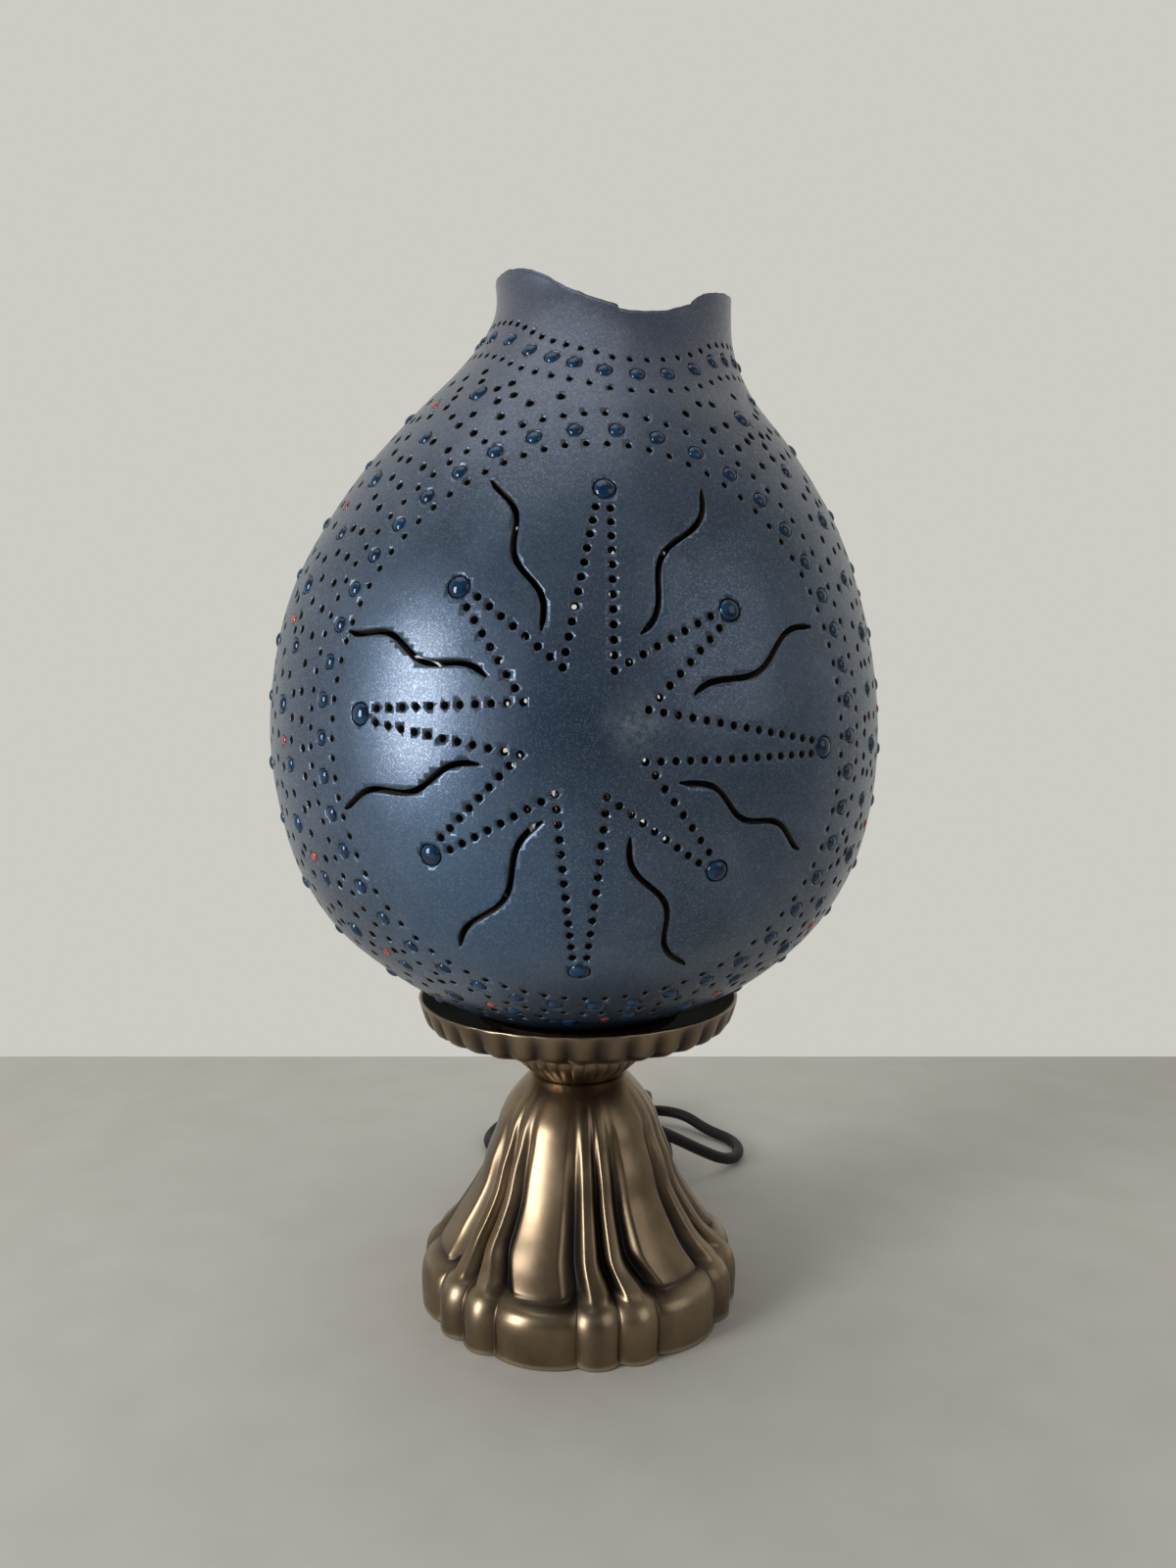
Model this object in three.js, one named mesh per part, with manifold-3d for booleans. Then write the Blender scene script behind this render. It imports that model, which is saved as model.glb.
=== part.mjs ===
// A table lamp: a pierced gourd shade on a fluted brass foot, with its lampholder, bulb,
// cord, cord switch and plug. Millimetres, +Z up, the front faces -Y, z = 0 is the table.
import * as THREE from "three";
import { mergeVertices } from "three/addons/utils/BufferGeometryUtils.js";
import Module from "manifold-3d";

const wasm = await Module();
wasm.setup();

// Fits
const GAP = 0.3; // between pieces that touch
const SLIDE = 0.3; // round pieces that turn or slide in a bore

// Foot
const FELT_RADIUS = 56.5;
const FELT_THICKNESS = 1.2;
const PLATE_THICKNESS = 1.5;
const BELL_HEIGHT = 90.5;
const BELL_INNER_FOOT = 55;
const BELL_TOP_THICKNESS = 2.5;
const ROD_RADIUS = 5;
const ROD_BORE = 3.6;
const ROD_BOTTOM = 76;
const WASHER_RADIUS = 15;
const WASHER_THICKNESS = 2;
const NUT_HEIGHT = 4;
const NUT_RADIUS = 9.5;

// Outside of the bell: height above its bottom edge, radius on a lobe, depth of a groove.
const BELL_OUTSIDE = [
  [0, 63.6, 6], [1.4, 65, 6.5], [11, 65.2, 6.5], [16, 64, 6.3], [19.2, 61.2, 5.4],
  [20.6, 57.9, 4.4], [22.8, 57.2, 5.2], [28.5, 52.8, 5], [34.5, 48.9, 4.5], [40.5, 45, 4],
  [48.5, 40.7, 3.4], [59.5, 37.2, 2.4], [67.5, 35, 1.3], [75.5, 33, 0.3], [80.5, 28.8, 0],
  [89.5, 21.5, 0], [90.5, 18, 0],
];
const BELL_INNER_ROWS = [22.8, 34.5, 48.5, 59.5, 75.5]; // rows that the hollow follows
const BELL_WALL = 2.5;
const BELL_LOBES = [[0, 15], [15, 30], [30, 60]]; // degrees, repeated every 60
const LOBE_FULLNESS = 0.6;

// Cup under the dish
const CUP_HEIGHT = 12.2;
const CUP_BOTTOM_RADIUS = 19.3;
const CUP_TOP_RADIUS = 27.5;
const CUP_FLUTES = 32;
const CUP_FLUTE_DEPTH = 0.7;
const CUP_WALL = 2.2;

// Dish
const DISH_HEIGHT = 20.6;
const DISH_RADIUS = 65;
const DISH_FLOOR = 2.5;
const DISH_LOBES = 40;
const DISH_LOBE_DEPTH = 1.6;

// Disc that the gourd rests on, and the nut that clamps the stack
const SEAT_HEIGHT = 11.6;
const SEAT_RADIUS = 41;
const SEAT_FLANGE = 2.2;
const SEAT_HUB = 9;
const SEAT_STEP = 1.6;
const TOP_NUT_HEIGHT = 4;
const ROD_ABOVE_NUT = 5.5;

// Gourd: height above its seat, radius, and how far the ring's centre lies to the right
const GOURD_OUTSIDE = [
  [0, 36, 0], [3, 45, 0], [7.5, 55, 0], [14.5, 68, 0.2], [24.5, 81.5, 0.2],
  [38.5, 96, -0.5], [58.5, 108.3, -0.7], [80.5, 115.2, -0.8], [112.5, 118.6, -1.3],
  [146.5, 115, -1.2], [168.5, 109, -0.6], [188.5, 100.2, 1.2], [206.5, 89.4, 2.4],
  [222.5, 77.5, 3.8], [236.5, 65.5, 5], [248.5, 56.3, 7.8], [260.5, 49.5, 10.9],
  [272.5, 46, 13.6], [284.5, 45.8, 14], [292.5, 46.8, 13.2],
];
// Broken rim: degrees from the front, height above the seat
const GOURD_RIM = [
  [-180, 282], [-140, 284.5], [-105, 285.7], [-68, 285.1], [-53, 283.7], [-37.5, 279.6],
  [-24, 273.3], [-11, 268.5], [0, 265.3], [5, 263.4], [16, 262.7], [26, 264.4],
  [40, 269.8], [45, 272.6], [71, 278], [83, 278.9], [110, 280], [145, 281], [180, 282],
];
const GOURD_WALL = 4.5;
const NECK_WALL = 3.4;
const GOURD_OPENING = 31.5;
const GOURD_SIDES = 60;
const HOLLOW_SIDES = 40;

// Star of beads on the front and on the back of the gourd
const STAR_HEIGHT = 117; // centre above the seat
const STAR_AZIMUTH = 4.5; // degrees to the right of the front
const STAR_LONG = 39.6; // degrees from the centre to a long tip
const STAR_SHORT = 30.4;
const STAR_TURN = 3.8; // degrees clockwise
const TIP_BEAD = 7.4;
const BEAD_PROUD = 1.4; // centre of a bead outside the surface

// Lampholder and bulb
const HOLDER_RADIUS = 14;
const HOLDER_WALL = 1.4;
const HOLDER_CAP_HEIGHT = 15.4;
const HOLDER_SLEEVE_HEIGHT = 25.7;
const INSERT_FLOOR = 6;
const INSERT_BORE = 8.6;
const SHELL_WALL = 0.95;
const CONTACT_RADIUS = 3;
const BULB_CAP_RADIUS = 7;
const BULB_CAP_HEIGHT = 15.5;
const BULB_TIP_HEIGHT = 1.8;
const BULB_INSULATOR_HEIGHT = 2;
const GLOBE_RADIUS = 22.5;
const GLOBE_CENTRE = 52.6; // above the tip of the bulb
const GLASS = 0.9;

// Cord
const CABLE = 5.8;
const WIRE = 1.6;
const LEAST_BEND = 4 * CABLE;
const GLAND_AZIMUTH = 165; // degrees from the front
const GLAND_HEIGHT = 42;
const GLAND_START = 31; // distances from the axis
const GLAND_FLANGE = 50.2;
const GLAND_END = 70;
const INNER_BEND = 25;
const ROUTE_STEP = 5;
const COIL_CENTRE = [1, 113];
const COIL_RADIUS = 43.8;
const COIL_PITCH = 6.25;
const COIL_TURNS = 3.25; // in each of the two layers
const COIL_STEPS = 24; // in each loop
const COIL_SIDES = 6;
const TAIL_BEND = 27;
const TAIL_TURN = 155;

// Switch on the cord
const SWITCH_LENGTH = 60;
const SWITCH_WIDTH = 26;
const SWITCH_HEIGHT = 17;
const SWITCH_WALL = 2;
const SWITCH_INSET = 6;
const ROCKER_LENGTH = 15.2;
const ROCKER_WIDTH = 9.6;
const ROCKER_TILT = 12;
const ROCKER_PIN = 1.2;
const SCREW_OFFSET = [15, 7];

// Plug
const PLUG_LENGTH = 36;
const PLUG_WIDTH = 35.3;
const PLUG_THICKNESS = 13.7;
const PLUG_RELIEF = 12;
const PIN_LENGTH = 19;
const PIN_RADIUS = 2;
const PIN_SPACING = 18.6;

// Levels that follow from the sizes above
const BELL_BOTTOM = FELT_THICKNESS + GAP;
const BELL_TOP = BELL_BOTTOM + BELL_HEIGHT;
const CUP_BOTTOM = BELL_TOP + GAP;
const DISH_BOTTOM = CUP_BOTTOM + CUP_HEIGHT + GAP;
const SEAT_BOTTOM = DISH_BOTTOM + DISH_FLOOR + GAP;
const SEAT_TOP = SEAT_BOTTOM + SEAT_HEIGHT;
const GOURD_BOTTOM = SEAT_TOP + GAP;
const NUT_BOTTOM = SEAT_TOP + SEAT_STEP + GAP;
const HOLDER_BOTTOM = NUT_BOTTOM + TOP_NUT_HEIGHT + GAP;
const ROD_TOP = HOLDER_BOTTOM + ROD_ABOVE_NUT;
const SLEEVE_BOTTOM = HOLDER_BOTTOM + HOLDER_CAP_HEIGHT + GAP;
const INSERT_TOP = SLEEVE_BOTTOM + INSERT_FLOOR;
const CONTACT_TOP = INSERT_TOP + 1.5;
const BULB_BOTTOM = CONTACT_TOP + GAP;

const rad = THREE.MathUtils.degToRad;
const point = (x, y, z) => new THREE.Vector3(x, y, z);

// Azimuth in radians from the front, growing to the right.
const around = (r, azimuth, z) => point(r * Math.sin(azimuth), -r * Math.cos(azimuth), z);

// A smooth curve through knots [x, y1, y2, ...]; column picks the y.
function smooth(knots, x, column = 1) {
  const last = knots.length - 1;
  let i = 0;
  while (i < last - 1 && x > knots[i + 1][0]) i += 1;
  const rise = (k) => (knots[k + 1][column] - knots[k][column]) / (knots[k + 1][0] - knots[k][0]);
  const slope = (k) => {
    if (k === 0) return rise(0);
    if (k === last) return rise(last - 1);
    return (rise(k - 1) + rise(k)) / 2;
  };
  const width = knots[i + 1][0] - knots[i][0];
  const t = THREE.MathUtils.clamp((x - knots[i][0]) / width, 0, 1);
  const [from, to] = [knots[i][column], knots[i + 1][column]];
  const bump = t * t * (3 - 2 * t);
  const bend = t * (1 - t) * width * ((1 - t) * slope(i) - t * slope(i + 1));
  return from + (to - from) * bump + bend;
}

// Closed solids

function solid(points, faces) {
  const positions = new Float32Array(points.flatMap((p) => [p.x, p.y, p.z]));
  const make = (tris) =>
    new wasm.Manifold(new wasm.Mesh({
      numProp: 3,
      vertProperties: positions,
      triVerts: new Uint32Array(tris.flat()),
    }));
  const made = make(faces);
  return made.volume() > 0 ? made : make(faces.map(([a, b, c]) => [a, c, b]));
}

// Rings of points joined into a surface. It closes on itself, or at a point at each end.
function skin(rings, ends = null) {
  const sides = rings[0].length;
  const points = rings.flat();
  const faces = [];
  const spans = ends ? rings.length - 1 : rings.length;
  for (let i = 0; i < spans; i += 1) {
    const a = i * sides;
    const b = ((i + 1) % rings.length) * sides;
    for (let j = 0; j < sides; j += 1) {
      const k = (j + 1) % sides;
      faces.push([a + j, b + j, b + k], [a + j, b + k, a + k]);
    }
  }
  if (ends) {
    const top = (rings.length - 1) * sides;
    points.push(...ends);
    for (let j = 0; j < sides; j += 1) {
      const k = (j + 1) % sides;
      faces.push([points.length - 2, j, k], [points.length - 1, top + k, top + j]);
    }
  }
  return solid(points, faces);
}

function ring(sides, place) {
  return Array.from({ length: sides }, (_, j) => place((2 * Math.PI * j) / sides));
}

// A profile [radius, height] turned about Z: it closes on itself, or starts and ends on the axis.
function turned(profile, sides = 28) {
  const onAxis = profile[0][0] === 0;
  const wall = onAxis ? profile.slice(1, -1) : profile;
  const rings = wall.map(([r, z]) => ring(sides, (a) => around(r, a, z)));
  const tips = [profile[0], profile.at(-1)].map(([, z]) => point(0, 0, z));
  return skin(rings, onAxis ? tips : null);
}

const rod = (r, z0, z1, sides = 24) => turned([[0, z0], [r, z0], [r, z1], [0, z1]], sides);

const tubeBetween = (inner, outer, z0, z1, sides = 32) =>
  turned([[inner, z0], [outer, z0], [outer, z1], [inner, z1]], sides);

// Any three.js geometry as a solid.
function solidFrom(geometry) {
  const bare = new THREE.BufferGeometry();
  const plain = geometry.index ? geometry.toNonIndexed() : geometry;
  bare.setAttribute("position", plain.getAttribute("position"));
  const merged = mergeVertices(bare, 1e-4);
  const at = merged.getAttribute("position");
  const points = Array.from({ length: at.count }, (_, i) =>
    point(at.getX(i), at.getY(i), at.getZ(i)));
  const faces = [];
  for (let i = 0; i < merged.index.count; i += 3) {
    faces.push([0, 1, 2].map((k) => merged.index.getX(i + k)));
  }
  return solid(points, faces);
}

// An outline in X and Y, raised from z0 to z1.
function prism(outline, z0, z1) {
  const shape = new THREE.Shape(outline.map(([x, y]) => new THREE.Vector2(x, y)));
  const geometry = new THREE.ExtrudeGeometry(shape, { depth: z1 - z0, bevelEnabled: false });
  return solidFrom(geometry.translate(0, 0, z0));
}

function block(x, y, z) {
  const outline = [[x[0], y[0]], [x[1], y[0]], [x[1], y[1]], [x[0], y[1]]];
  return prism(outline, z[0], z[1]);
}

// A round cord along a smooth line through the points.
function cord(points, diameter, sides = 8, step = 2.2 * diameter) {
  const line = new THREE.CatmullRomCurve3(points, false, "centripetal");
  const section = new THREE.Shape(
    ring(sides, (a) => new THREE.Vector2((diameter / 2) * Math.cos(a), (diameter / 2) * Math.sin(a))),
  );
  const steps = Math.max(2, Math.ceil(line.getLength() / step));
  return solidFrom(new THREE.ExtrudeGeometry(section, { steps, extrudePath: line }));
}

// A solid made round Z, laid so that its Z axis runs from `start` along `direction`.
function along(made, start, direction) {
  const turn = new THREE.Quaternion().setFromUnitVectors(point(0, 0, 1), direction);
  const matrix = new THREE.Matrix4().compose(start, turn, point(1, 1, 1));
  return made.transform(matrix.elements);
}

// Foot

// How full a lobe of the bell is at an azimuth: 0 in a groove, 1 on its crest.
function bellLobe(azimuth) {
  const degrees = ((THREE.MathUtils.radToDeg(azimuth) % 60) + 60) % 60;
  const [from, to] = BELL_LOBES.find(([, end]) => degrees < end - 1e-6) ?? BELL_LOBES[0];
  const across = Math.max(0, (degrees - from) / (to - from));
  return Math.sin(Math.PI * Math.min(1, across)) ** LOBE_FULLNESS;
}

function bell() {
  const sides = 72;
  const outside = BELL_OUTSIDE.map(([h, r, depth]) =>
    ring(sides, (a) => around(r - depth * (1 - bellLobe(a)), a, BELL_BOTTOM + h)));
  const inTop = BELL_HEIGHT - BELL_TOP_THICKNESS;
  const walls = BELL_OUTSIDE.filter(([h]) => BELL_INNER_ROWS.includes(h)).map(
    ([h, r, depth]) => [r - depth - BELL_WALL - 0.04 * (r - 30), BELL_BOTTOM + h - 1]);
  const hollow = turned([
    [0, 0], [BELL_INNER_FOOT, 0], [BELL_INNER_FOOT, BELL_BOTTOM + 12], ...walls,
    [20.5, BELL_BOTTOM + inTop], [0, BELL_BOTTOM + inTop],
  ], 40);
  const ends = [point(0, 0, BELL_BOTTOM), point(0, 0, BELL_TOP)];
  const rodHole = rod(ROD_RADIUS + SLIDE, 0, BELL_TOP + 1);
  const cordHole = along(
    rod(CABLE / 2 + 2.4 + SLIDE, 0, 60, 20), point(0, 0, GLAND_HEIGHT), glandDirection);
  return skin(outside, ends).subtract(hollow).subtract(rodHole).subtract(cordHole);
}

function cup() {
  const [low, high] = [CUP_BOTTOM_RADIUS, CUP_TOP_RADIUS];
  const span = high - low;
  const hole = ROD_RADIUS + SLIDE;
  const outside = [
    [low, 0, 0], [low + 0.25 * span, 1.8, 0.6], [low + 0.7 * span, 5.4, 1],
    [low + 0.95 * span, 9, 1], [high, CUP_HEIGHT, 0.4],
  ];
  const hollow = turned([
    [0, CUP_WALL], [low - 3, CUP_WALL], [low - 0.5, CUP_WALL + 1.2], [high - CUP_WALL - 0.5, 9],
    [high - CUP_WALL, CUP_HEIGHT + 1], [0, CUP_HEIGHT + 1],
  ], 32).translate([0, 0, CUP_BOTTOM]);
  const sides = 2 * CUP_FLUTES;
  const flute = (a) => (1 - Math.cos(CUP_FLUTES * a)) / 2;
  const rings = outside.map(([r, h, cut]) =>
    ring(sides, (a) => around(r - CUP_FLUTE_DEPTH * cut * flute(a), a, CUP_BOTTOM + h)));
  const ends = [point(0, 0, CUP_BOTTOM), point(0, 0, CUP_BOTTOM + CUP_HEIGHT)];
  return skin(rings, ends).subtract(hollow).subtract(rod(hole, CUP_BOTTOM - 1, DISH_BOTTOM));
}

function dish() {
  const wide = DISH_RADIUS / 65;
  const high = DISH_HEIGHT;
  const hole = ROD_RADIUS + SLIDE;
  const profile = [
    [CUP_TOP_RADIUS, 0, 0], [45, 4.4, 0], [52.6 * wide, 7.3, 0.4], [54.4 * wide, 8.4, 1],
    [58.5 * wide, 0.61 * high, 1], [63.4 * wide, high - 2.6, 0.7], [DISH_RADIUS, high, 0],
    [DISH_RADIUS - 1.4, high - 0.3, 0], [59.6 * wide, high - 5.2, 0], [51, 9.2, 0],
    [30, DISH_FLOOR, 0],
  ];
  const sides = 2 * DISH_LOBES;
  const groove = (a) => (1 - Math.cos(DISH_LOBES * a)) / 2;
  const rings = profile.map(([r, h, cut]) =>
    ring(sides, (a) => around(r - DISH_LOBE_DEPTH * cut * groove(a), a, DISH_BOTTOM + h)));
  const ends = [point(0, 0, DISH_BOTTOM), point(0, 0, DISH_BOTTOM + DISH_FLOOR)];
  return skin(rings, ends).subtract(rod(hole, DISH_BOTTOM - 1, SEAT_BOTTOM + 1));
}

function seat() {
  const hole = ROD_RADIUS + SLIDE;
  const under = SEAT_TOP - SEAT_FLANGE;
  const step = GOURD_OPENING - 2 * SLIDE;
  return turned([
    [hole, SEAT_BOTTOM], [SEAT_HUB, SEAT_BOTTOM], [SEAT_HUB, under - 2], [SEAT_HUB + 2, under],
    [SEAT_RADIUS, under], [SEAT_RADIUS, SEAT_TOP], [step, SEAT_TOP],
    [step - 0.6, SEAT_TOP + SEAT_STEP], [hole, SEAT_TOP + SEAT_STEP],
  ], 40);
}

function nut(radius, bottom, height) {
  const hex = ring(6, (a) => [radius * Math.cos(a), radius * Math.sin(a)]);
  return prism(hex, bottom, bottom + height).subtract(
    rod(ROD_RADIUS + SLIDE, bottom - 1, bottom + height + 1));
}

// Gourd

const gourdRadius = (h) => smooth(GOURD_OUTSIDE, h, 1);
const gourdLean = (h) => smooth(GOURD_OUTSIDE, h, 2);
const gourdSlope = (h) => (gourdRadius(h + 0.5) - gourdRadius(h - 0.5)) / 1;
const NECK_START = 222.5;

function gourdWall(h) {
  const up = THREE.MathUtils.smoothstep(h, NECK_START - 20, NECK_START + 40);
  return THREE.MathUtils.lerp(GOURD_WALL, NECK_WALL, up);
}

// A point on the gourd, `deep` mm inside its surface.
function gourdPoint(azimuth, h, deep = 0) {
  const slope = gourdSlope(h);
  const length = Math.hypot(1, slope);
  const p = around(gourdRadius(h) - deep / length, azimuth, GOURD_BOTTOM + h + (deep * slope) / length);
  return p.add(point(gourdLean(h), 0, 0));
}

function rimHeight(azimuth) {
  const degrees = THREE.MathUtils.radToDeg(azimuth);
  return smooth(GOURD_RIM, degrees > 180 ? degrees - 360 : degrees);
}

// Rows of the neck keep their order up to the uneven rim.
const neckHeight = (azimuth, part) => NECK_START + (rimHeight(azimuth) - NECK_START) * part;

function gourdBody() {
  const low = [0, 3, 7.5, 14.5, 24.5, 38.5, 58.5, 80.5, 112.5, 146.5, 168.5, 188.5, 206.5];
  const outside = [
    ...low.map((h) => ring(GOURD_SIDES, (a) => gourdPoint(a, h))),
    ...[0, 0.28, 0.55, 0.8, 1].map((part) =>
      ring(GOURD_SIDES, (a) => gourdPoint(a, neckHeight(a, part)))),
  ];
  const top = point(gourdLean(275), 0, GOURD_BOTTOM + 275);
  return skin(outside, [point(0, 0, GOURD_BOTTOM), top]).subtract(gourdHollow());
}

function gourdHollow() {
  const rings = [
    ring(HOLLOW_SIDES, (a) => around(GOURD_OPENING, a, GOURD_BOTTOM - 2)),
    ring(HOLLOW_SIDES, (a) => around(GOURD_OPENING, a, GOURD_BOTTOM + 3.6)),
    ...[3, 7.5, 18, 40, 75, 112.5, 150, 188.5, 215, 238, 255, 275, 290].map((h) =>
      ring(HOLLOW_SIDES, (a) => gourdPoint(a, h, gourdWall(h)))),
  ];
  const top = point(gourdLean(290), 0, GOURD_BOTTOM + 290);
  return skin(rings, [point(0, 0, GOURD_BOTTOM - 2), top]);
}

// Where a line from the middle of the gourd leaves it, and the surface's direction there.
function gourdHit(direction) {
  const middle = point(0, 0, GOURD_BOTTOM + STAR_HEIGHT);
  const outside = (p) => {
    const h = p.z - GOURD_BOTTOM;
    return Math.hypot(p.x - gourdLean(h), p.y) - gourdRadius(h);
  };
  let [near, far] = [20, 200];
  for (let i = 0; i < 40; i += 1) {
    const t = (near + far) / 2;
    if (outside(middle.clone().addScaledVector(direction, t)) > 0) far = t;
    else near = t;
  }
  const at = middle.clone().addScaledVector(direction, near);
  const h = at.z - GOURD_BOTTOM;
  const normal = point(at.x - gourdLean(h), at.y, 0).normalize();
  normal.z = -gourdSlope(h);
  return { at, normal: normal.normalize() };
}

// A direction given by its angle from a star's centre and its clock angle round it, in degrees.
function starDirection(side, angle, clock) {
  const azimuth = rad(STAR_AZIMUTH + (side === "back" ? 180 : 0));
  const ahead = around(1, azimuth, 0);
  const right = point(Math.cos(azimuth), Math.sin(azimuth), 0);
  const out = right.multiplyScalar(Math.sin(rad(clock))).add(point(0, 0, Math.cos(rad(clock))));
  return ahead.multiplyScalar(Math.cos(rad(angle))).addScaledVector(out, Math.sin(rad(angle)));
}

function starTips(side) {
  return Array.from({ length: 8 }, (_, i) =>
    gourdHit(starDirection(side, i % 2 ? STAR_SHORT : STAR_LONG, STAR_TURN + 45 * i)));
}

function bead({ at, normal }, diameter) {
  const ball = solidFrom(new THREE.IcosahedronGeometry(diameter / 2, 1));
  const centre = at.clone().addScaledVector(normal, BEAD_PROUD);
  return ball.translate([centre.x, centre.y, centre.z]);
}

// The hole that a bead sits in, right through the wall.
function beadHole({ at, normal }, diameter) {
  const bore = rod(diameter / 2 + SLIDE, -12, 6, 12);
  return along(bore, at, normal);
}

// Lampholder and bulb

function holderCap() {
  const [z, r, w] = [HOLDER_BOTTOM, HOLDER_RADIUS, HOLDER_WALL];
  const [hole, top] = [ROD_RADIUS + SLIDE, HOLDER_BOTTOM + HOLDER_CAP_HEIGHT];
  return turned([
    [hole, z], [r - 4.5, z], [r - 1.2, z + 3.4], [r, z + 8.4], [r, top], [r - w, top],
    [r - w, z + 9], [r - w - 1.4, z + 5], [r - w - 4, z + 2], [hole, z + 2],
  ]);
}

function holderSleeve() {
  const [z, r, w] = [SLEEVE_BOTTOM, HOLDER_RADIUS, HOLDER_WALL];
  const top = z + HOLDER_SLEEVE_HEIGHT;
  return turned([
    [r - w, z], [r, z], [r, top - 1.4], [r - 1.2, top], [r - 3.6, top],
    [r - 3.6, top - 1.6], [r - w, top - 1.6],
  ]);
}

function holderInsert() {
  const r = HOLDER_RADIUS - HOLDER_WALL - SLIDE;
  const top = SLEEVE_BOTTOM + HOLDER_SLEEVE_HEIGHT - 1.6 - GAP;
  const body = turned([
    [1.5, SLEEVE_BOTTOM], [r, SLEEVE_BOTTOM], [r, top], [INSERT_BORE, top],
    [INSERT_BORE, INSERT_TOP], [1.5, INSERT_TOP],
  ]);
  const side = rod(1 + SLIDE, SLEEVE_BOTTOM - 1, INSERT_TOP + 1, 12);
  return body.subtract(side.translate([sidePinX, 0, 0]));
}

const sidePinX = INSERT_BORE - SLIDE - SHELL_WALL / 2;

function threadShell() {
  const outer = INSERT_BORE - SLIDE;
  const top = SLEEVE_BOTTOM + HOLDER_SLEEVE_HEIGHT - 2.4;
  return tubeBetween(outer - SHELL_WALL, outer, INSERT_TOP + GAP, top);
}

function centreContact() {
  const r = 1.5 - SLIDE;
  return turned([
    [0, SLEEVE_BOTTOM - 0.4], [r, SLEEVE_BOTTOM - 0.4], [r, CONTACT_TOP - 0.9],
    [CONTACT_RADIUS, CONTACT_TOP - 0.9], [CONTACT_RADIUS, CONTACT_TOP - 0.2],
    [1, CONTACT_TOP], [0, CONTACT_TOP],
  ], 20);
}

function bulbPieces() {
  const tipTop = BULB_BOTTOM + BULB_TIP_HEIGHT;
  const collar = tipTop + GAP;
  const capBottom = collar + BULB_INSULATOR_HEIGHT + GAP;
  const capTop = capBottom + BULB_CAP_HEIGHT;
  const centre = BULB_BOTTOM + GLOBE_CENTRE;
  const bore = BULB_CAP_RADIUS - 0.6;
  const neck = bore - SLIDE;
  const tip = turned([[0, BULB_BOTTOM], [1.6, BULB_BOTTOM], [3.4, tipTop], [0, tipTop]], 24);
  const insulator = turned([
    [0, collar], [4, collar], [BULB_CAP_RADIUS - 0.8, capBottom - GAP], [0, capBottom - GAP],
  ], 28);
  const cap = turned([
    [1.4, capBottom], [BULB_CAP_RADIUS - 0.4, capBottom], [BULB_CAP_RADIUS, capBottom + 0.8],
    [BULB_CAP_RADIUS, capTop], [bore, capTop], [bore, capBottom + 1], [1.4, capBottom + 1],
  ], 28);
  return { tip, insulator, cap, ...bulbGlass(capBottom, capTop, centre, neck) };
}

function bulbGlass(capBottom, capTop, centre, neck) {
  const inside = GLOBE_RADIUS - GLASS;
  const arc = (radius, from, to, count) => Array.from({ length: count }, (_, i) => {
    const a = rad(from + ((to - from) * i) / (count - 1));
    return [radius * Math.cos(a), centre + radius * Math.sin(a)];
  });
  const shoulder = centre - 19;
  const outer = [
    [neck, capBottom + 4], [neck, capTop + 0.6], [neck + 2, capTop + 3], [neck + 4, shoulder - 2],
    ...arc(GLOBE_RADIUS, -50, 76, 8),
  ];
  const lip = neck - GLASS;
  const inner = [
    ...arc(inside, 76, -50, 8), [lip + 4, shoulder - 2], [lip + 2, capTop + 3],
    [lip, capTop + 0.6], [lip, capBottom + 4],
  ];
  // The glass is one skin with a domed top, so both sides of the wall end on the axis.
  const outerSolid = turned([[0, capBottom + 4], ...outer, [0, centre + GLOBE_RADIUS]], 24);
  const innerSolid = turned([[0, capBottom + 3], [lip, capBottom + 3],
    ...inner.reverse(), [0, centre + inside]], 24);
  const globe = outerSolid.subtract(innerSolid);
  const stem = turned([
    [0, capBottom + 5], [lip - SLIDE, capBottom + 5], [lip - SLIDE, capBottom + 7],
    [2.6, capBottom + 12], [2, centre - 12], [3, centre - 8], [0, centre - 7],
  ], 20);
  return { globe, stem, filament: filament(centre) };
}

// One thin wire in five loops round the stem.
function filament(centre) {
  const loops = 5;
  const foot = (a) => [around(2.95, a, centre - 10), around(5, a, centre - 10.2)];
  const points = foot(0);
  for (let i = 0; i <= 2 * loops - 1; i += 1) {
    const a = (2 * Math.PI * i) / (2 * loops);
    const [from, to] = i % 2 ? [9, -9] : [-9, 9];
    points.push(around(7.5, a, centre + from), around(9.5, a, centre + (from + to) / 2));
    points.push(around(7.5, a, centre + to));
  }
  points.push(...foot(Math.PI * (2 - 1 / loops)).reverse());
  return cord(points, 1, 4, 6);
}

// Cord

const glandDirection = around(1, rad(GLAND_AZIMUTH), 0);
const onGland = (distance) =>
  glandDirection.clone().multiplyScalar(distance).add(point(0, 0, GLAND_HEIGHT));
const glandHeading = THREE.MathUtils.radToDeg(Math.atan2(glandDirection.y, glandDirection.x));

function gland() {
  const bore = CABLE / 2 + SLIDE;
  const neck = CABLE / 2 + 2.4;
  const length = GLAND_END - GLAND_START;
  const flange = GLAND_FLANGE - GLAND_START;
  const body = turned([
    [bore, 0], [neck + 0.9, 0], [neck + 0.9, 1.8], [neck, 2.2], [neck, flange],
    [neck + 1.8, flange], [neck + 1.8, flange + 2], [neck - 0.2, flange + 2.6],
    [bore + 0.9, length], [bore, length],
  ], 24);
  return along(body, onGland(GLAND_START), glandDirection);
}

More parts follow.
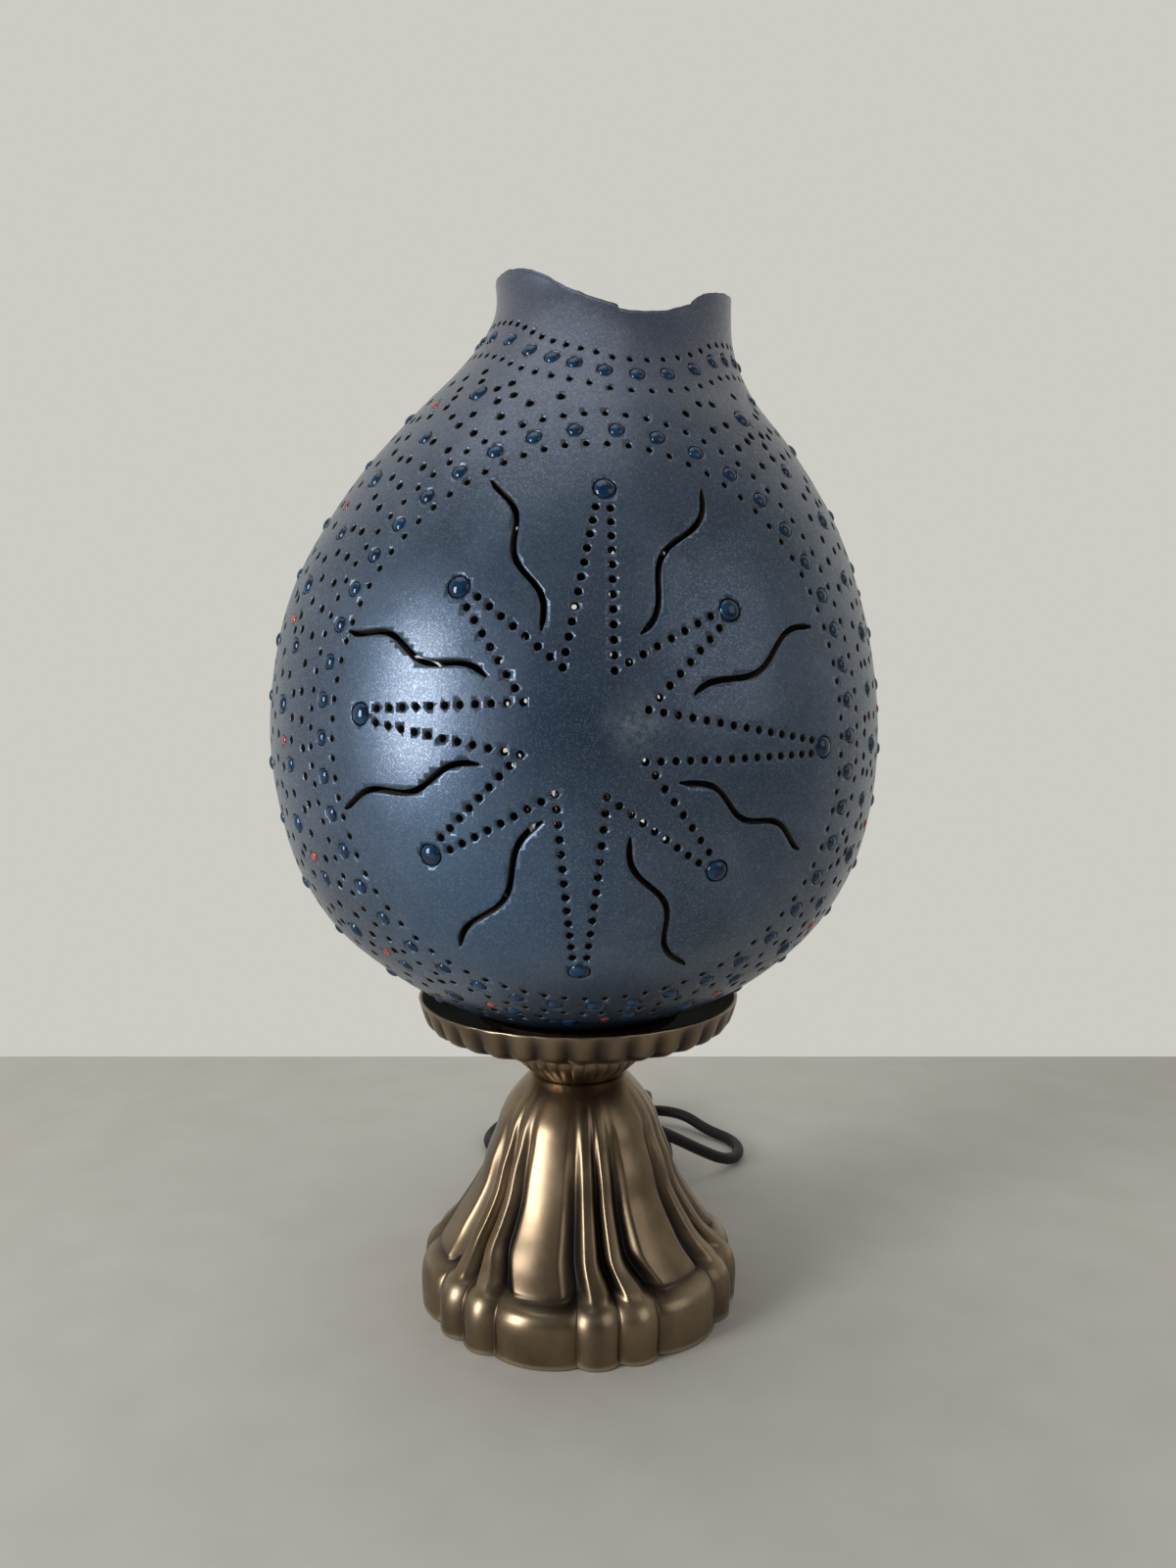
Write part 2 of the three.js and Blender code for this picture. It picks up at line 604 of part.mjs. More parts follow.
// A flat route of runs and turns from a start, with a height for each distance along it.
function route(start, heading, legs, heights) {
  let [x, y, angle, gone] = [start.x, start.y, rad(heading), 0];
  const points = [point(x, y, smooth(heights, 0))];
  for (const { run = 0, turn = 0, radius = LEAST_BEND } of legs) {
    const length = turn ? Math.abs(rad(turn)) * radius : run;
    const steps = Math.max(1, Math.ceil(length / ROUTE_STEP));
    const part = rad(turn) / steps;
    const chord = turn ? 2 * radius * Math.sin(Math.abs(part) / 2) : length / steps;
    for (let i = 0; i < steps; i += 1) {
      angle += part / 2;
      x += chord * Math.cos(angle);
      y += chord * Math.sin(angle);
      angle += part / 2;
      gone += length / steps;
      points.push(point(x, y, smooth(heights, gone)));
    }
  }
  return points;
}

const switchAxis = SWITCH_HEIGHT / 2;
const tableCord = CABLE / 2;

// From the gland down to the table, round a bend, and into the switch.
function leadPoints() {
  const inGland = GLAND_END - GLAND_FLANGE - 1;
  const legs = [
    { run: inGland + 3 }, { turn: -43, radius: 32 }, { run: 43 }, { turn: 30, radius: 34 },
    { turn: 72, radius: 24.5 }, { run: 20 }, { turn: 46, radius: 28 }, { run: 9 },
  ];
  const d = inGland;
  const heights = [
    [0, GLAND_HEIGHT], [d, GLAND_HEIGHT], [d + 10, 40.7], [d + 20, 37], [d + 30, 31.8],
    [d + 43, 24.4], [d + 60, 14.2], [d + 70, 8.6], [d + 76, 5.9], [d + 83, 3.8],
    [d + 91, tableCord], [d + 100, tableCord], [d + 116, tableCord],
    [d + 130, tableCord + 1], [d + 146, switchAxis - 1.2], [d + 160, switchAxis],
    [d + 230, switchAxis],
  ];
  return route(onGland(GLAND_FLANGE + 1), glandHeading, legs, heights);
}

const leadLine = leadPoints();
const leadEnd = leadLine.at(-1);
const switchX = leadEnd.x - SWITCH_LENGTH / 2 + SWITCH_INSET;
const switchY = leadEnd.y;

// From the switch to the start of the coil.
function linkPoints() {
  const [swing, back, r] = [120, 30, 27];
  const start = point(2 * switchX - leadEnd.x, switchY, 0);
  const coilX = COIL_CENTRE[0] - COIL_RADIUS;
  const coilY = COIL_CENTRE[1] + CABLE + GAP;
  const across = r * (Math.sin(rad(swing)) - (1 - Math.cos(rad(back))));
  const down = r * (1 - Math.cos(rad(swing)) + Math.sin(rad(back)));
  const legs = [
    { run: start.x - across - coilX }, { turn: swing, radius: r },
    { turn: -back, radius: r }, { run: start.y - down - coilY },
  ];
  const first = SWITCH_INSET + 2;
  const heights = [
    [0, switchAxis], [first, switchAxis - 0.1], [first + 13, switchAxis - 1.6],
    [first + 26, tableCord + 1.5], [first + 39, tableCord], [first + 48, tableCord],
    [first + 200, tableCord],
  ];
  return route(start, 180, legs, heights);
}

// The centre line of the coil: inwards on the table, up a layer, and outwards again.
function coilLine() {
  const loops = 2 * COIL_TURNS;
  const count = Math.round(loops * COIL_STEPS);
  const layer = COIL_PITCH;
  const line = [];
  for (let i = 0; i <= count; i += 1) {
    const turn = (i / count) * loops;
    const r = COIL_RADIUS - COIL_PITCH * Math.min(turn, loops - turn);
    const climb = THREE.MathUtils.smoothstep(turn, COIL_TURNS - 0.25, COIL_TURNS + 0.25);
    const a = Math.PI + 2 * Math.PI * turn;
    const out = point(Math.cos(a), Math.sin(a), 0);
    const at = point(COIL_CENTRE[0], COIL_CENTRE[1], tableCord + layer * climb);
    line.push({ at: at.addScaledVector(out, r), out });
  }
  const straight = (end) => {
    const at = end.at.clone().add(point(0, CABLE, 0));
    return { at, out: end.out.clone() };
  };
  return [straight(line[0]), ...line, straight(line.at(-1))];
}

function coil() {
  const line = coilLine();
  const up = point(0, 0, 1);
  const rings = line.map(({ at, out }) => ring(COIL_SIDES, (a) =>
    at.clone().addScaledVector(out, (CABLE / 2) * Math.cos(a))
      .addScaledVector(up, (CABLE / 2) * Math.sin(a))));
  return skin(rings, [line[0].at.clone(), line.at(-1).at.clone()]);
}

// The least distance between two loops of the coil, less the cable's diameter.
function coilGap() {
  const line = coilLine().slice(1, -1);
  let least = Infinity;
  for (let i = 0; i < line.length; i += 1) {
    for (let j = i + COIL_STEPS / 2; j < line.length; j += 1) {
      least = Math.min(least, line[i].at.distanceTo(line[j].at));
    }
  }
  return least - CABLE;
}

const lengthOf = (points) =>
  points.slice(1).reduce((sum, p, i) => sum + p.distanceTo(points[i]), 0);

// The tightest bend of the smooth line through the points.
function leastBend(points) {
  const line = new THREE.CatmullRomCurve3(points, false, "centripetal");
  const at = line.getSpacedPoints(Math.ceil(line.getLength() / 3));
  return at.slice(2).reduce((least, c, i) => {
    const triangle = new THREE.Triangle(at[i], at[i + 1], c);
    const [p, q, r] = [at[i].distanceTo(at[i + 1]), at[i + 1].distanceTo(c), c.distanceTo(at[i])];
    return Math.min(least, (p * q * r) / (4 * triangle.getArea() + 1e-9));
  }, Infinity);
}

// From the coil, round and up, to the plug that lies on it.
const coilTop = 2 * tableCord + COIL_PITCH;
const plugHeight = coilTop + GAP + PLUG_THICKNESS / 2;

function tailPoints() {
  const end = coilLine().at(-1).at;
  const start = point(end.x, end.y + GAP, 0);
  const bend = rad(TAIL_TURN) * TAIL_BEND;
  const rise = [[0, 0], [0.19, 0.144], [0.38, 0.522], [0.58, 0.8], [0.77, 0.96], [1, 1], [1.3, 1]];
  const heights = rise.map(([part, up]) => [part * bend, end.z + up * (plugHeight - end.z)]);
  return route(start, 90, [{ run: 4 }, { turn: TAIL_TURN, radius: TAIL_BEND }, { run: 3 }], heights);
}

// Cord inside the foot: from the gland, up a bend, and up the rod.
function innerLeadPoints() {
  const bend = Array.from({ length: 7 }, (_, i) => {
    const a = rad((90 * (i + 1)) / 8);
    const distance = INNER_BEND * (1 - Math.sin(a));
    return onGland(distance).add(point(0, 0, INNER_BEND * (1 - Math.cos(a))));
  });
  const top = ROD_TOP + 3;
  return [
    onGland(GLAND_FLANGE + 1 - GAP), onGland(INNER_BEND + 8), onGland(INNER_BEND), ...bend,
    point(0, 0, GLAND_HEIGHT + INNER_BEND), point(0, 0, GLAND_HEIGHT + INNER_BEND + 8),
    point(0, 0, top - 8), point(0, 0, top),
  ];
}

function holderWire(side) {
  const start = ROD_TOP + 3 + GAP;
  const end = SLEEVE_BOTTOM - 0.4 - GAP;
  const x = side === "live" ? 0 : sidePinX;
  const from = side === "live" ? -1.4 : 1.4;
  const third = (end - start) / 3;
  return cord([
    point(from, 0, start), point(from, 0, start + third),
    point(x, 0, end - third), point(x, 0, end),
  ], WIRE, 8, 1.8);
}

// Switch: made about its own centre, on the table

function roundedOutline(length, width, corner) {
  const [x, y] = [length / 2 - corner, width / 2 - corner];
  const centres = [[x, y, 0], [-x, y, 90], [-x, -y, 180], [x, -y, 270]];
  return centres.flatMap(([cx, cy, from]) => [0, 22.5, 45, 67.5, 90].map((step) => {
    const a = rad(from + step);
    return [cx + corner * Math.cos(a), cy + corner * Math.sin(a)];
  }));
}

const switchOutline = (inset) =>
  roundedOutline(SWITCH_LENGTH - 2 * inset, SWITCH_WIDTH - 2 * inset, 9 - inset);

function switchShell(bottom, top, hollowBottom, hollowTop) {
  const shell = prism(switchOutline(0), bottom, top);
  const hollow = prism(switchOutline(SWITCH_WALL), hollowBottom, hollowTop);
  const cordHole = along(
    rod(CABLE / 2 + SLIDE, -SWITCH_LENGTH, SWITCH_LENGTH, 16), point(0, 0, switchAxis), point(1, 0, 0));
  return shell.subtract(hollow).subtract(cordHole);
}

const screwPlaces = [SCREW_OFFSET, SCREW_OFFSET.map((v) => -v)];

function switchLower() {
  const top = switchAxis - GAP / 2;
  let shell = switchShell(0, top, SWITCH_WALL + 1, top + 1);
  for (const [x, y] of screwPlaces) {
    const hole = rod(1.2 + SLIDE, -1, 4, 16).add(rod(2.6 + SLIDE, -1, 1.9, 16));
    shell = shell.subtract(hole.translate([x, y, 0]));
  }
  return shell;
}

function switchUpper() {
  const bottom = switchAxis + GAP / 2;
  const inTop = SWITCH_HEIGHT - SWITCH_WALL;
  let shell = switchShell(bottom, SWITCH_HEIGHT, bottom - 1, inTop);
  const [x, y] = [ROCKER_LENGTH / 2 + 1.1, ROCKER_WIDTH / 2 + 0.5];
  shell = shell.subtract(block([-x, x], [-y, y], [inTop - 1, SWITCH_HEIGHT + 1]));
  for (const [px, py] of screwPlaces) {
    const post = tubeBetween(1.2 + SLIDE, 2.8, bottom, inTop + 0.5, 16);
    shell = shell.add(post.translate([px, py, 0]));
  }
  return shell;
}

function switchScrew([x, y]) {
  const screw = turned([
    [0, 0.3], [2.6, 0.3], [2.6, 1.6], [1.2, 1.9], [1.2, SWITCH_HEIGHT - SWITCH_WALL - 1],
    [0, SWITCH_HEIGHT - SWITCH_WALL - 1],
  ], 16);
  return screw.translate([x, y, 0]);
}

const pivotHeight = SWITCH_HEIGHT - 3.2;

function rocker() {
  const [half, wide] = [ROCKER_LENGTH / 2, ROCKER_WIDTH / 2];
  const profile = [
    [-half + 0.8, -2.4], [half - 0.8, -2.4], [half, 0], [half, 3.2], [0.6 * half, 3],
    [0, 3.9], [-0.6 * half, 3], [-half, 3.2], [-half, 0],
  ];
  const upright = prism(profile, -wide, wide).rotate([90, 0, 0]);
  const bore = along(rod(ROCKER_PIN + SLIDE, -20, 20, 20), point(0, 0, 0), point(0, 1, 0));
  return upright.subtract(bore).rotate([0, -ROCKER_TILT, 0]).translate([0, 0, pivotHeight]);
}

function rockerPin() {
  const half = SWITCH_WIDTH / 2 - SWITCH_WALL - GAP;
  return along(rod(ROCKER_PIN, -half, half, 20), point(0, 0, pivotHeight), point(0, 1, 0));
}

// Plug: made along +X from its cord end, then laid on the coil

function plugRing(x, halfWidth, halfThick, corner) {
  const power = 2 / corner;
  return ring(24, (a) => {
    const [c, s] = [Math.cos(a), Math.sin(a)];
    return point(
      x, halfWidth * Math.sign(c) * Math.abs(c) ** power,
      halfThick * Math.sign(s) * Math.abs(s) ** power);
  });
}

const pinPlaces = [-PIN_SPACING / 2, PIN_SPACING / 2];

function plugBody() {
  const [w, t, end] = [PLUG_WIDTH / 2, PLUG_THICKNESS / 2, PLUG_RELIEF + PLUG_LENGTH];
  const body = skin([
    plugRing(0, 3.6, 3.6, 2), plugRing(PLUG_RELIEF, 4.8, 4.6, 2),
    plugRing(PLUG_RELIEF + 1.5, 7, 5.6, 2.4), plugRing(PLUG_RELIEF + 12, 0.72 * w, 0.96 * t, 3),
    plugRing(PLUG_RELIEF + 26, 0.97 * w, t, 3.4), plugRing(end - 1, w, t, 4),
    plugRing(end, w - 0.8, t - 0.8, 4),
  ], [point(0, 0, 0), point(end, 0, 0)]);
  return pinPlaces.reduce((made, y) => {
    const socket = along(rod(PIN_RADIUS + SLIDE, 0, 6, 16), point(end - 5, y, 0), point(1, 0, 0));
    return made.subtract(socket);
  }, body);
}

function plugPin(y) {
  const pin = turned([
    [0, 0], [PIN_RADIUS, 0], [PIN_RADIUS, PIN_LENGTH + 3.5], [PIN_RADIUS - 1, PIN_LENGTH + 4.7],
    [0, PIN_LENGTH + 4.7],
  ], 16);
  const bottom = PLUG_RELIEF + PLUG_LENGTH - 5 + GAP;
  return along(pin, point(bottom, y, 0), point(1, 0, 0));
}

function onCoil(made) {
  const line = tailPoints();
  const end = line.at(-1);
  const ahead = end.clone().sub(line.at(-2)).setZ(0).normalize();
  const turn = THREE.MathUtils.radToDeg(Math.atan2(ahead.y, ahead.x));
  const start = end.clone().addScaledVector(ahead, GAP);
  return made.rotate([0, 0, turn]).translate([start.x, start.y, plugHeight]);
}

// Assembly

const finish = (color, metalness, roughness, extra = {}) =>
  new THREE.MeshStandardMaterial({ color, metalness, roughness, ...extra });

const paint = finish(0x3f5a80, 0.35, 0.4);
const brass = finish(0x8a6a35, 0.9, 0.4);
const steel = finish(0xb8b8b4, 0.9, 0.3);
const felt = finish(0x1d2a22, 0, 0.95);
const black = finish(0x141414, 0, 0.5);
const rubber = finish(0x101010, 0, 0.7);
const ceramic = finish(0xe8e4da, 0, 0.4);
const copper = finish(0xb87333, 0.9, 0.35);
const beadGlass = finish(0x12309c, 0, 0.1, { transparent: true, opacity: 0.85 });
const bulbGlassLook = finish(0xf4f6f8, 0, 0.05, { transparent: true, opacity: 0.35 });
const glow = finish(0xffc26b, 0, 0.6);

const lamp = new THREE.Group();

function add(name, made, material) {
  const { vertProperties, triVerts, numProp } = made.getMesh();
  const positions = new Float32Array((vertProperties.length / numProp) * 3);
  for (let i = 0; i < positions.length; i += 1) {
    positions[i] = vertProperties[Math.floor(i / 3) * numProp + (i % 3)];
  }
  const geometry = new THREE.BufferGeometry();
  geometry.setAttribute("position", new THREE.BufferAttribute(positions, 3));
  geometry.setIndex(new THREE.BufferAttribute(new Uint32Array(triVerts), 1));
  const mesh = new THREE.Mesh(geometry, material);
  mesh.name = name;
  lamp.add(mesh);
}

function addFoot() {
  const plateTop = BELL_BOTTOM + PLATE_THICKNESS;
  const washerTop = BELL_TOP - BELL_TOP_THICKNESS - GAP;
  const hole = ROD_RADIUS + SLIDE;
  add("felt_pad", rod(FELT_RADIUS, 0, FELT_THICKNESS, 48), felt);
  add("base_plate", rod(BELL_INNER_FOOT - SLIDE - 0.2, BELL_BOTTOM, plateTop, 40), steel);
  add("base_bell", bell(), brass);
  add("lower_washer", tubeBetween(hole, WASHER_RADIUS, washerTop - WASHER_THICKNESS, washerTop), steel);
  add("lower_nut", nut(NUT_RADIUS, washerTop - WASHER_THICKNESS - GAP - NUT_HEIGHT, NUT_HEIGHT), steel);
  add("threaded_rod", tubeBetween(ROD_BORE, ROD_RADIUS, ROD_BOTTOM, ROD_TOP), steel);
  add("neck_cup", cup(), brass);
  add("dish", dish(), brass);
  add("shade_seat", seat(), brass);
  add("top_nut", nut(NUT_RADIUS, NUT_BOTTOM, TOP_NUT_HEIGHT), steel);
}

function addLight() {
  add("holder_cap", holderCap(), black);
  add("holder_sleeve", holderSleeve(), black);
  add("holder_insert", holderInsert(), ceramic);
  add("thread_shell", threadShell(), brass);
  add("centre_contact", centreContact(), copper);
  const pin = rod(1, SLEEVE_BOTTOM - 0.4, INSERT_TOP, 12);
  add("side_contact", pin.translate([sidePinX, 0, 0]), copper);
  const bulb = bulbPieces();
  add("bulb_tip", bulb.tip, steel);
  add("bulb_insulator", bulb.insulator, black);
  add("bulb_cap", bulb.cap, steel);
  add("bulb_globe", bulb.globe, bulbGlassLook);
  add("bulb_stem", bulb.stem, bulbGlassLook);
  add("bulb_filament", bulb.filament, glow);
}

function addShade() {
  let shell = gourdBody();
  for (const side of ["front", "back"]) {
    starTips(side).forEach((tip, i) => {
      shell = shell.subtract(beadHole(tip, TIP_BEAD));
      add(`bead_${side}_${i + 1}`, bead(tip, TIP_BEAD), beadGlass);
    });
  }
  add("gourd_shell", shell, paint);
}

function addCord() {
  add("cord_gland", gland(), rubber);
  add("inner_lead", cord(innerLeadPoints(), CABLE), black);
  add("wire_live", holderWire("live"), copper);
  add("wire_neutral", holderWire("neutral"), black);
  add("cord_lead", cord(leadLine, CABLE), black);
  add("cord_link", cord(linkPoints(), CABLE), black);
  add("cord_coil", coil(), black);
  add("cord_tail", cord(tailPoints(), CABLE), black);
}

function addSwitch() {
  const place = [switchX, switchY, 0];
  add("switch_lower", switchLower().translate(place), black);
  add("switch_upper", switchUpper().translate(place), black);
  add("switch_rocker", rocker().translate(place), finish(0x2a2a2c, 0, 0.35));
  add("rocker_pin", rockerPin().translate(place), steel);
  screwPlaces.forEach((at, i) =>
    add(`switch_screw_${i + 1}`, switchScrew(at).translate(place), steel));
}

function addPlug() {
  add("plug_body", onCoil(plugBody()), black);
  pinPlaces.forEach((y, i) => add(`plug_pin_${i + 1}`, onCoil(plugPin(y)), steel));
}

addFoot();
addLight();
addShade();
addCord();
addSwitch();
addPlug();

const lengths = {
  lead: lengthOf(leadLine),
  link: lengthOf(linkPoints()),
  coil: lengthOf(coilLine().map(({ at }) => at)),
  tail: lengthOf(tailPoints()),
};
const total = Object.values(lengths).reduce((sum, length) => sum + length, 0);
console.log("cord lengths", lengths, "with the switch", total + SWITCH_LENGTH - 2 * SWITCH_INSET);
const bends = [leadLine, linkPoints(), tailPoints(), innerLeadPoints()].map(leastBend);
console.log("tightest bends", bends.map((r) => r.toFixed(1)).join(" "), "least allowed", LEAST_BEND);
console.log("switch at", switchX.toFixed(1), switchY.toFixed(1));
console.log("least gap between loops of the coil", coilGap().toFixed(3));

export default lamp;
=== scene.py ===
"""Looks of the gourd lamp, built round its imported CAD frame. Metres, +Z up, the front faces -Y."""

import math

import bpy
import numpy as np
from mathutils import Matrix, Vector


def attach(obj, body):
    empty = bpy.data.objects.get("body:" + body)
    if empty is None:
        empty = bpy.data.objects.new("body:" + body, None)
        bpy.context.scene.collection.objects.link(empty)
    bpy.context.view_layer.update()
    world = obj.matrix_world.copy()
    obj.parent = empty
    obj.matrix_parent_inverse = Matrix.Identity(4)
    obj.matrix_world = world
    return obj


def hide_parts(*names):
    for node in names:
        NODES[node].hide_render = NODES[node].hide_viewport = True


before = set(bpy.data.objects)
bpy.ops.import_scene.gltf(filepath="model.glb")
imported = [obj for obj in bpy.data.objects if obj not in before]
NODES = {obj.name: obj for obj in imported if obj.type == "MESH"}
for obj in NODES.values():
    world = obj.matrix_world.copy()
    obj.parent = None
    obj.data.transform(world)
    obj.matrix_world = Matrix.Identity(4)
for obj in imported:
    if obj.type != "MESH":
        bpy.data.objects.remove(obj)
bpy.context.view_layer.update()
MM = 0.001

# Camera, as worked out from the photo: 5 degrees down, in front of the lamp

scene = bpy.context.scene
scene.view_settings.view_transform = "Standard"
CAMERA_PLACE = (0.004, -0.474, 0.252)
CAMERA_TILT = 85


def add_camera():
    data = bpy.data.cameras.new("camera")
    data.sensor_width = 36
    data.lens = 27
    data.clip_start = 0.01
    camera = bpy.data.objects.new("camera", data)
    camera.location = CAMERA_PLACE
    camera.rotation_euler = (math.radians(CAMERA_TILT), 0, 0)
    scene.collection.objects.link(camera)
    scene.camera = camera


add_camera()

# Shader helpers


class Shader:
    """A material with its principled shader and short ways to add nodes."""

    def __init__(self, name):
        self.material = bpy.data.materials.new(name)
        self.material.use_nodes = True
        self.tree = self.material.node_tree
        self.main = self.tree.nodes["Principled BSDF"]

    def node(self, kind, values=None, **settings):
        made = self.tree.nodes.new("ShaderNode" + kind)
        for key, value in settings.items():
            setattr(made, key, value)
        for key, value in (values or {}).items():
            self.put(made.inputs[key], value)
        return made

    def put(self, socket, value):
        if isinstance(value, bpy.types.NodeSocket):
            self.tree.links.new(value, socket)
        else:
            socket.default_value = value

    def set(self, **values):
        """Sets or links sockets of the main shader; _ stands for a space in a name."""
        for key, value in values.items():
            self.put(self.main.inputs[key.replace("_", " ")], value)

    def at(self, scale=(1, 1, 1)):
        """The place on the object, in metres, stretched by `scale`."""
        coordinates = self.node("TexCoord").outputs["Object"]
        return self.node("Mapping", {"Vector": coordinates, "Scale": scale}).outputs["Vector"]

    def noise(self, scale, detail=3, roughness=0.5, stretch=(1, 1, 1), distortion=0):
        values = {"Vector": self.at(stretch), "Scale": scale, "Detail": detail,
                  "Roughness": roughness, "Distortion": distortion}
        return self.node("TexNoise", values).outputs["Fac"]

    def ramp(self, factor, stops):
        made = self.node("ValToRGB", {"Fac": factor})
        points = made.color_ramp.elements
        while len(points) < len(stops):
            points.new(0.5)
        for point, (at, color) in zip(points, stops):
            point.position = at
            point.color = (*color, 1)
        return made.outputs["Color"]

    def window(self, factor, start, end, low=0.0, high=1.0):
        """low where factor is at start or less, high where it is at end or more."""
        values = {"Value": factor, "From Min": start, "From Max": end,
                  "To Min": low, "To Max": high}
        return self.node("MapRange", values).outputs["Result"]

    def maths(self, operation, a, b=0.0):
        return self.node("Math", {0: a, 1: b}, operation=operation).outputs["Value"]

    def mix(self, factor, a, b, blend="MIX"):
        made = self.node("Mix", data_type="RGBA", blend_type=blend)
        self.put(made.inputs["Factor"], factor)
        for socket, value in ((made.inputs[6], a), (made.inputs[7], b)):
            self.put(socket, (*value, 1) if isinstance(value, tuple) else value)
        return made.outputs[2]

    def attribute(self, name):
        return self.node("Attribute", attribute_name=name).outputs["Fac"]

    def spot(self, centre, reach, edge):
        """1 near a place, 0 from `reach` metres off, with an edge that a noise makes uneven."""
        here = self.node("TexCoord").outputs["Object"]
        far = self.node("VectorMath", {0: here, 1: centre}, operation="DISTANCE").outputs["Value"]
        far = self.maths("ADD", far, self.window(self.noise(120, 3, 0.6), 0, 1, -edge, edge))
        return self.window(far, reach - edge, reach + edge, 1, 0)

    def bump(self, height, strength=0.3, distance=0.0005, under=None):
        values = {"Height": height, "Strength": strength, "Distance": distance}
        made = self.node("Bump", values)
        if under is not None:
            self.put(made.inputs["Normal"], under)
        self.put(self.main.inputs["Normal"], made.outputs["Normal"])
        return made.outputs["Normal"]


def add_paint():
    """Slate-blue pearl paint: mottled, greyer at the neck, with a dark heart, a rubbed patch and a
    painted sheen low on the left.
    """
    shader = Shader("pearl_paint")
    mottle = shader.noise(26, 5, 0.62, distortion=0.6)
    cloud = shader.noise(9, 2, 0.5)
    height = shader.node("SeparateXYZ", {0: shader.at()}).outputs["Z"]
    up = shader.window(height, 0.30, 0.39)
    base = shader.ramp(mottle, [
        (0.32, (0.029, 0.052, 0.088)), (0.5, (0.050, 0.082, 0.132)),
        (0.68, (0.084, 0.120, 0.178)),
    ])
    deep = shader.window(cloud, 0.35, 0.62)
    base = shader.mix(shader.maths("MULTIPLY", deep, 0.35), base, (0.024, 0.048, 0.100))
    neck = shader.maths("MULTIPLY", up, 0.75)
    base = shader.mix(neck, base, (0.090, 0.098, 0.142))
    heart = shader.spot((-0.002, -0.118, 0.241), 0.013, 0.011)
    base = shader.mix(shader.maths("MULTIPLY", heart, 0.8), base, (0.016, 0.042, 0.088))
    pale = shader.spot((0.019, -0.117, 0.239), 0.0068, 0.0056)
    rubbed = shader.window(shader.noise(480, 4, 0.7), 0.40, 0.64, 0.1, 0.8)
    base = shader.mix(shader.maths("MULTIPLY", pale, rubbed), base, (0.250, 0.295, 0.335))
    # Painted sheen: a lighter, bluer patch low on the left, on the side the light comes from
    low = shader.spot((-0.030, -0.105, 0.175), 0.036, 0.026)
    base = shader.mix(shader.maths("MULTIPLY", low, 0.7), base, (0.046, 0.106, 0.200))
    grain = shader.node("TexVoronoi", {"Vector": shader.at(), "Scale": 2300})
    spark = shader.window(grain.outputs["Color"], 0.55, 1.0)
    base = shader.mix(shader.maths("MULTIPLY", spark, 0.35), base, (0.30, 0.35, 0.43))
    shader.set(Base_Color=base, Metallic=0.62, Roughness=shader.window(spark, 0, 1, 0.42, 0.28))
    shader.set(Coat_Weight=0.35, Coat_Roughness=0.22)
    wide = shader.bump(shader.noise(210, 3, 0.6), 0.22, 0.0004)
    shader.bump(grain.outputs["Distance"], 0.25, 0.00012, wide)
    return shader.material


def add_brass(name, patina=1.0):
    """Antique brass: nearly black where "groove" is 1, as patina with painted shade in the hollows;
    brighter by the other attribute, as rubbed wear with a painted highlight.
    """
    shader = Shader(name)
    groove = shader.attribute("groove")
    smudge = shader.noise(34, 4, 0.6)
    streak = shader.noise(60, 3, 0.6, stretch=(1, 1, 0.12))
    metal = shader.ramp(smudge, [
        (0.30, (0.165, 0.120, 0.075)), (0.55, (0.250, 0.184, 0.116)),
        (0.75, (0.335, 0.250, 0.160)),
    ])
    metal = shader.mix(shader.window(streak, 0.42, 0.72, 0, 0.6), metal, (0.105, 0.078, 0.060))
    metal = shader.mix(shader.attribute("wear_and_highlight"), metal, (0.520, 0.430, 0.290))
    # Patina in the hollows, with painted shade in the grooves, creases, valleys and undersides
    patina_and_shade = shader.maths("MULTIPLY", shader.window(groove, 0.05, 0.9), patina)
    shader.set(Base_Color=shader.mix(patina_and_shade, metal, (0.022, 0.019, 0.020)))
    rough = shader.window(smudge, 0.3, 0.75, 0.27, 0.37)
    rough = shader.maths("ADD", rough, shader.maths("MULTIPLY", patina_and_shade, 0.12))
    shader.set(Metallic=1.0, Roughness=rough)
    shader.bump(shader.noise(420, 2, 0.5), 0.05, 0.0002)
    return shader.material


def add_grained(name, noise, low, high, roughness, relief, **more):
    """A surface whose colour, from low to high, and relief follow one noise."""
    shader = Shader(name)
    grain = shader.noise(*noise)
    shader.set(Base_Color=shader.ramp(grain, [(0.3, low), (0.7, high)]))
    shader.set(Roughness=roughness, **more)
    shader.bump(grain, *relief)
    return shader.material


def add_plain(name, color, roughness, metallic=0.0, grain=500, strength=0.08, spread=0.12):
    """One colour with a fine grain."""
    shader = Shader(name)
    noise = shader.noise(grain, 3, 0.55)
    low = tuple(c * (1 - spread) for c in color)
    high = tuple(min(1, c * (1 + spread)) for c in color)
    shader.set(Base_Color=shader.ramp(noise, [(0.3, low), (0.7, high)]))
    rough = shader.window(noise, 0.3, 0.7, roughness * 0.9, roughness * 1.1)
    shader.set(Metallic=metallic, Roughness=rough)
    shader.bump(noise, strength, 0.0002)
    return shader.material


def add_bead_glass(name, color, deep):
    shader = Shader(name)
    swirl = shader.noise(300, 2, 0.5)
    shader.set(Base_Color=shader.ramp(swirl, [(0.35, deep), (0.65, color)]))
    shader.set(Transmission_Weight=0.25, IOR=1.48, Roughness=0.05)
    shader.bump(shader.noise(500, 2, 0.5), 0.08, 0.0003)
    return shader.material


def add_clear_glass():
    shader = Shader("clear_glass")
    shader.set(Base_Color=(0.98, 0.99, 1.0, 1), Transmission_Weight=1.0, IOR=1.45)
    shader.set(Roughness=shader.window(shader.noise(60, 2), 0.3, 0.7, 0.0, 0.03))
    return shader.material


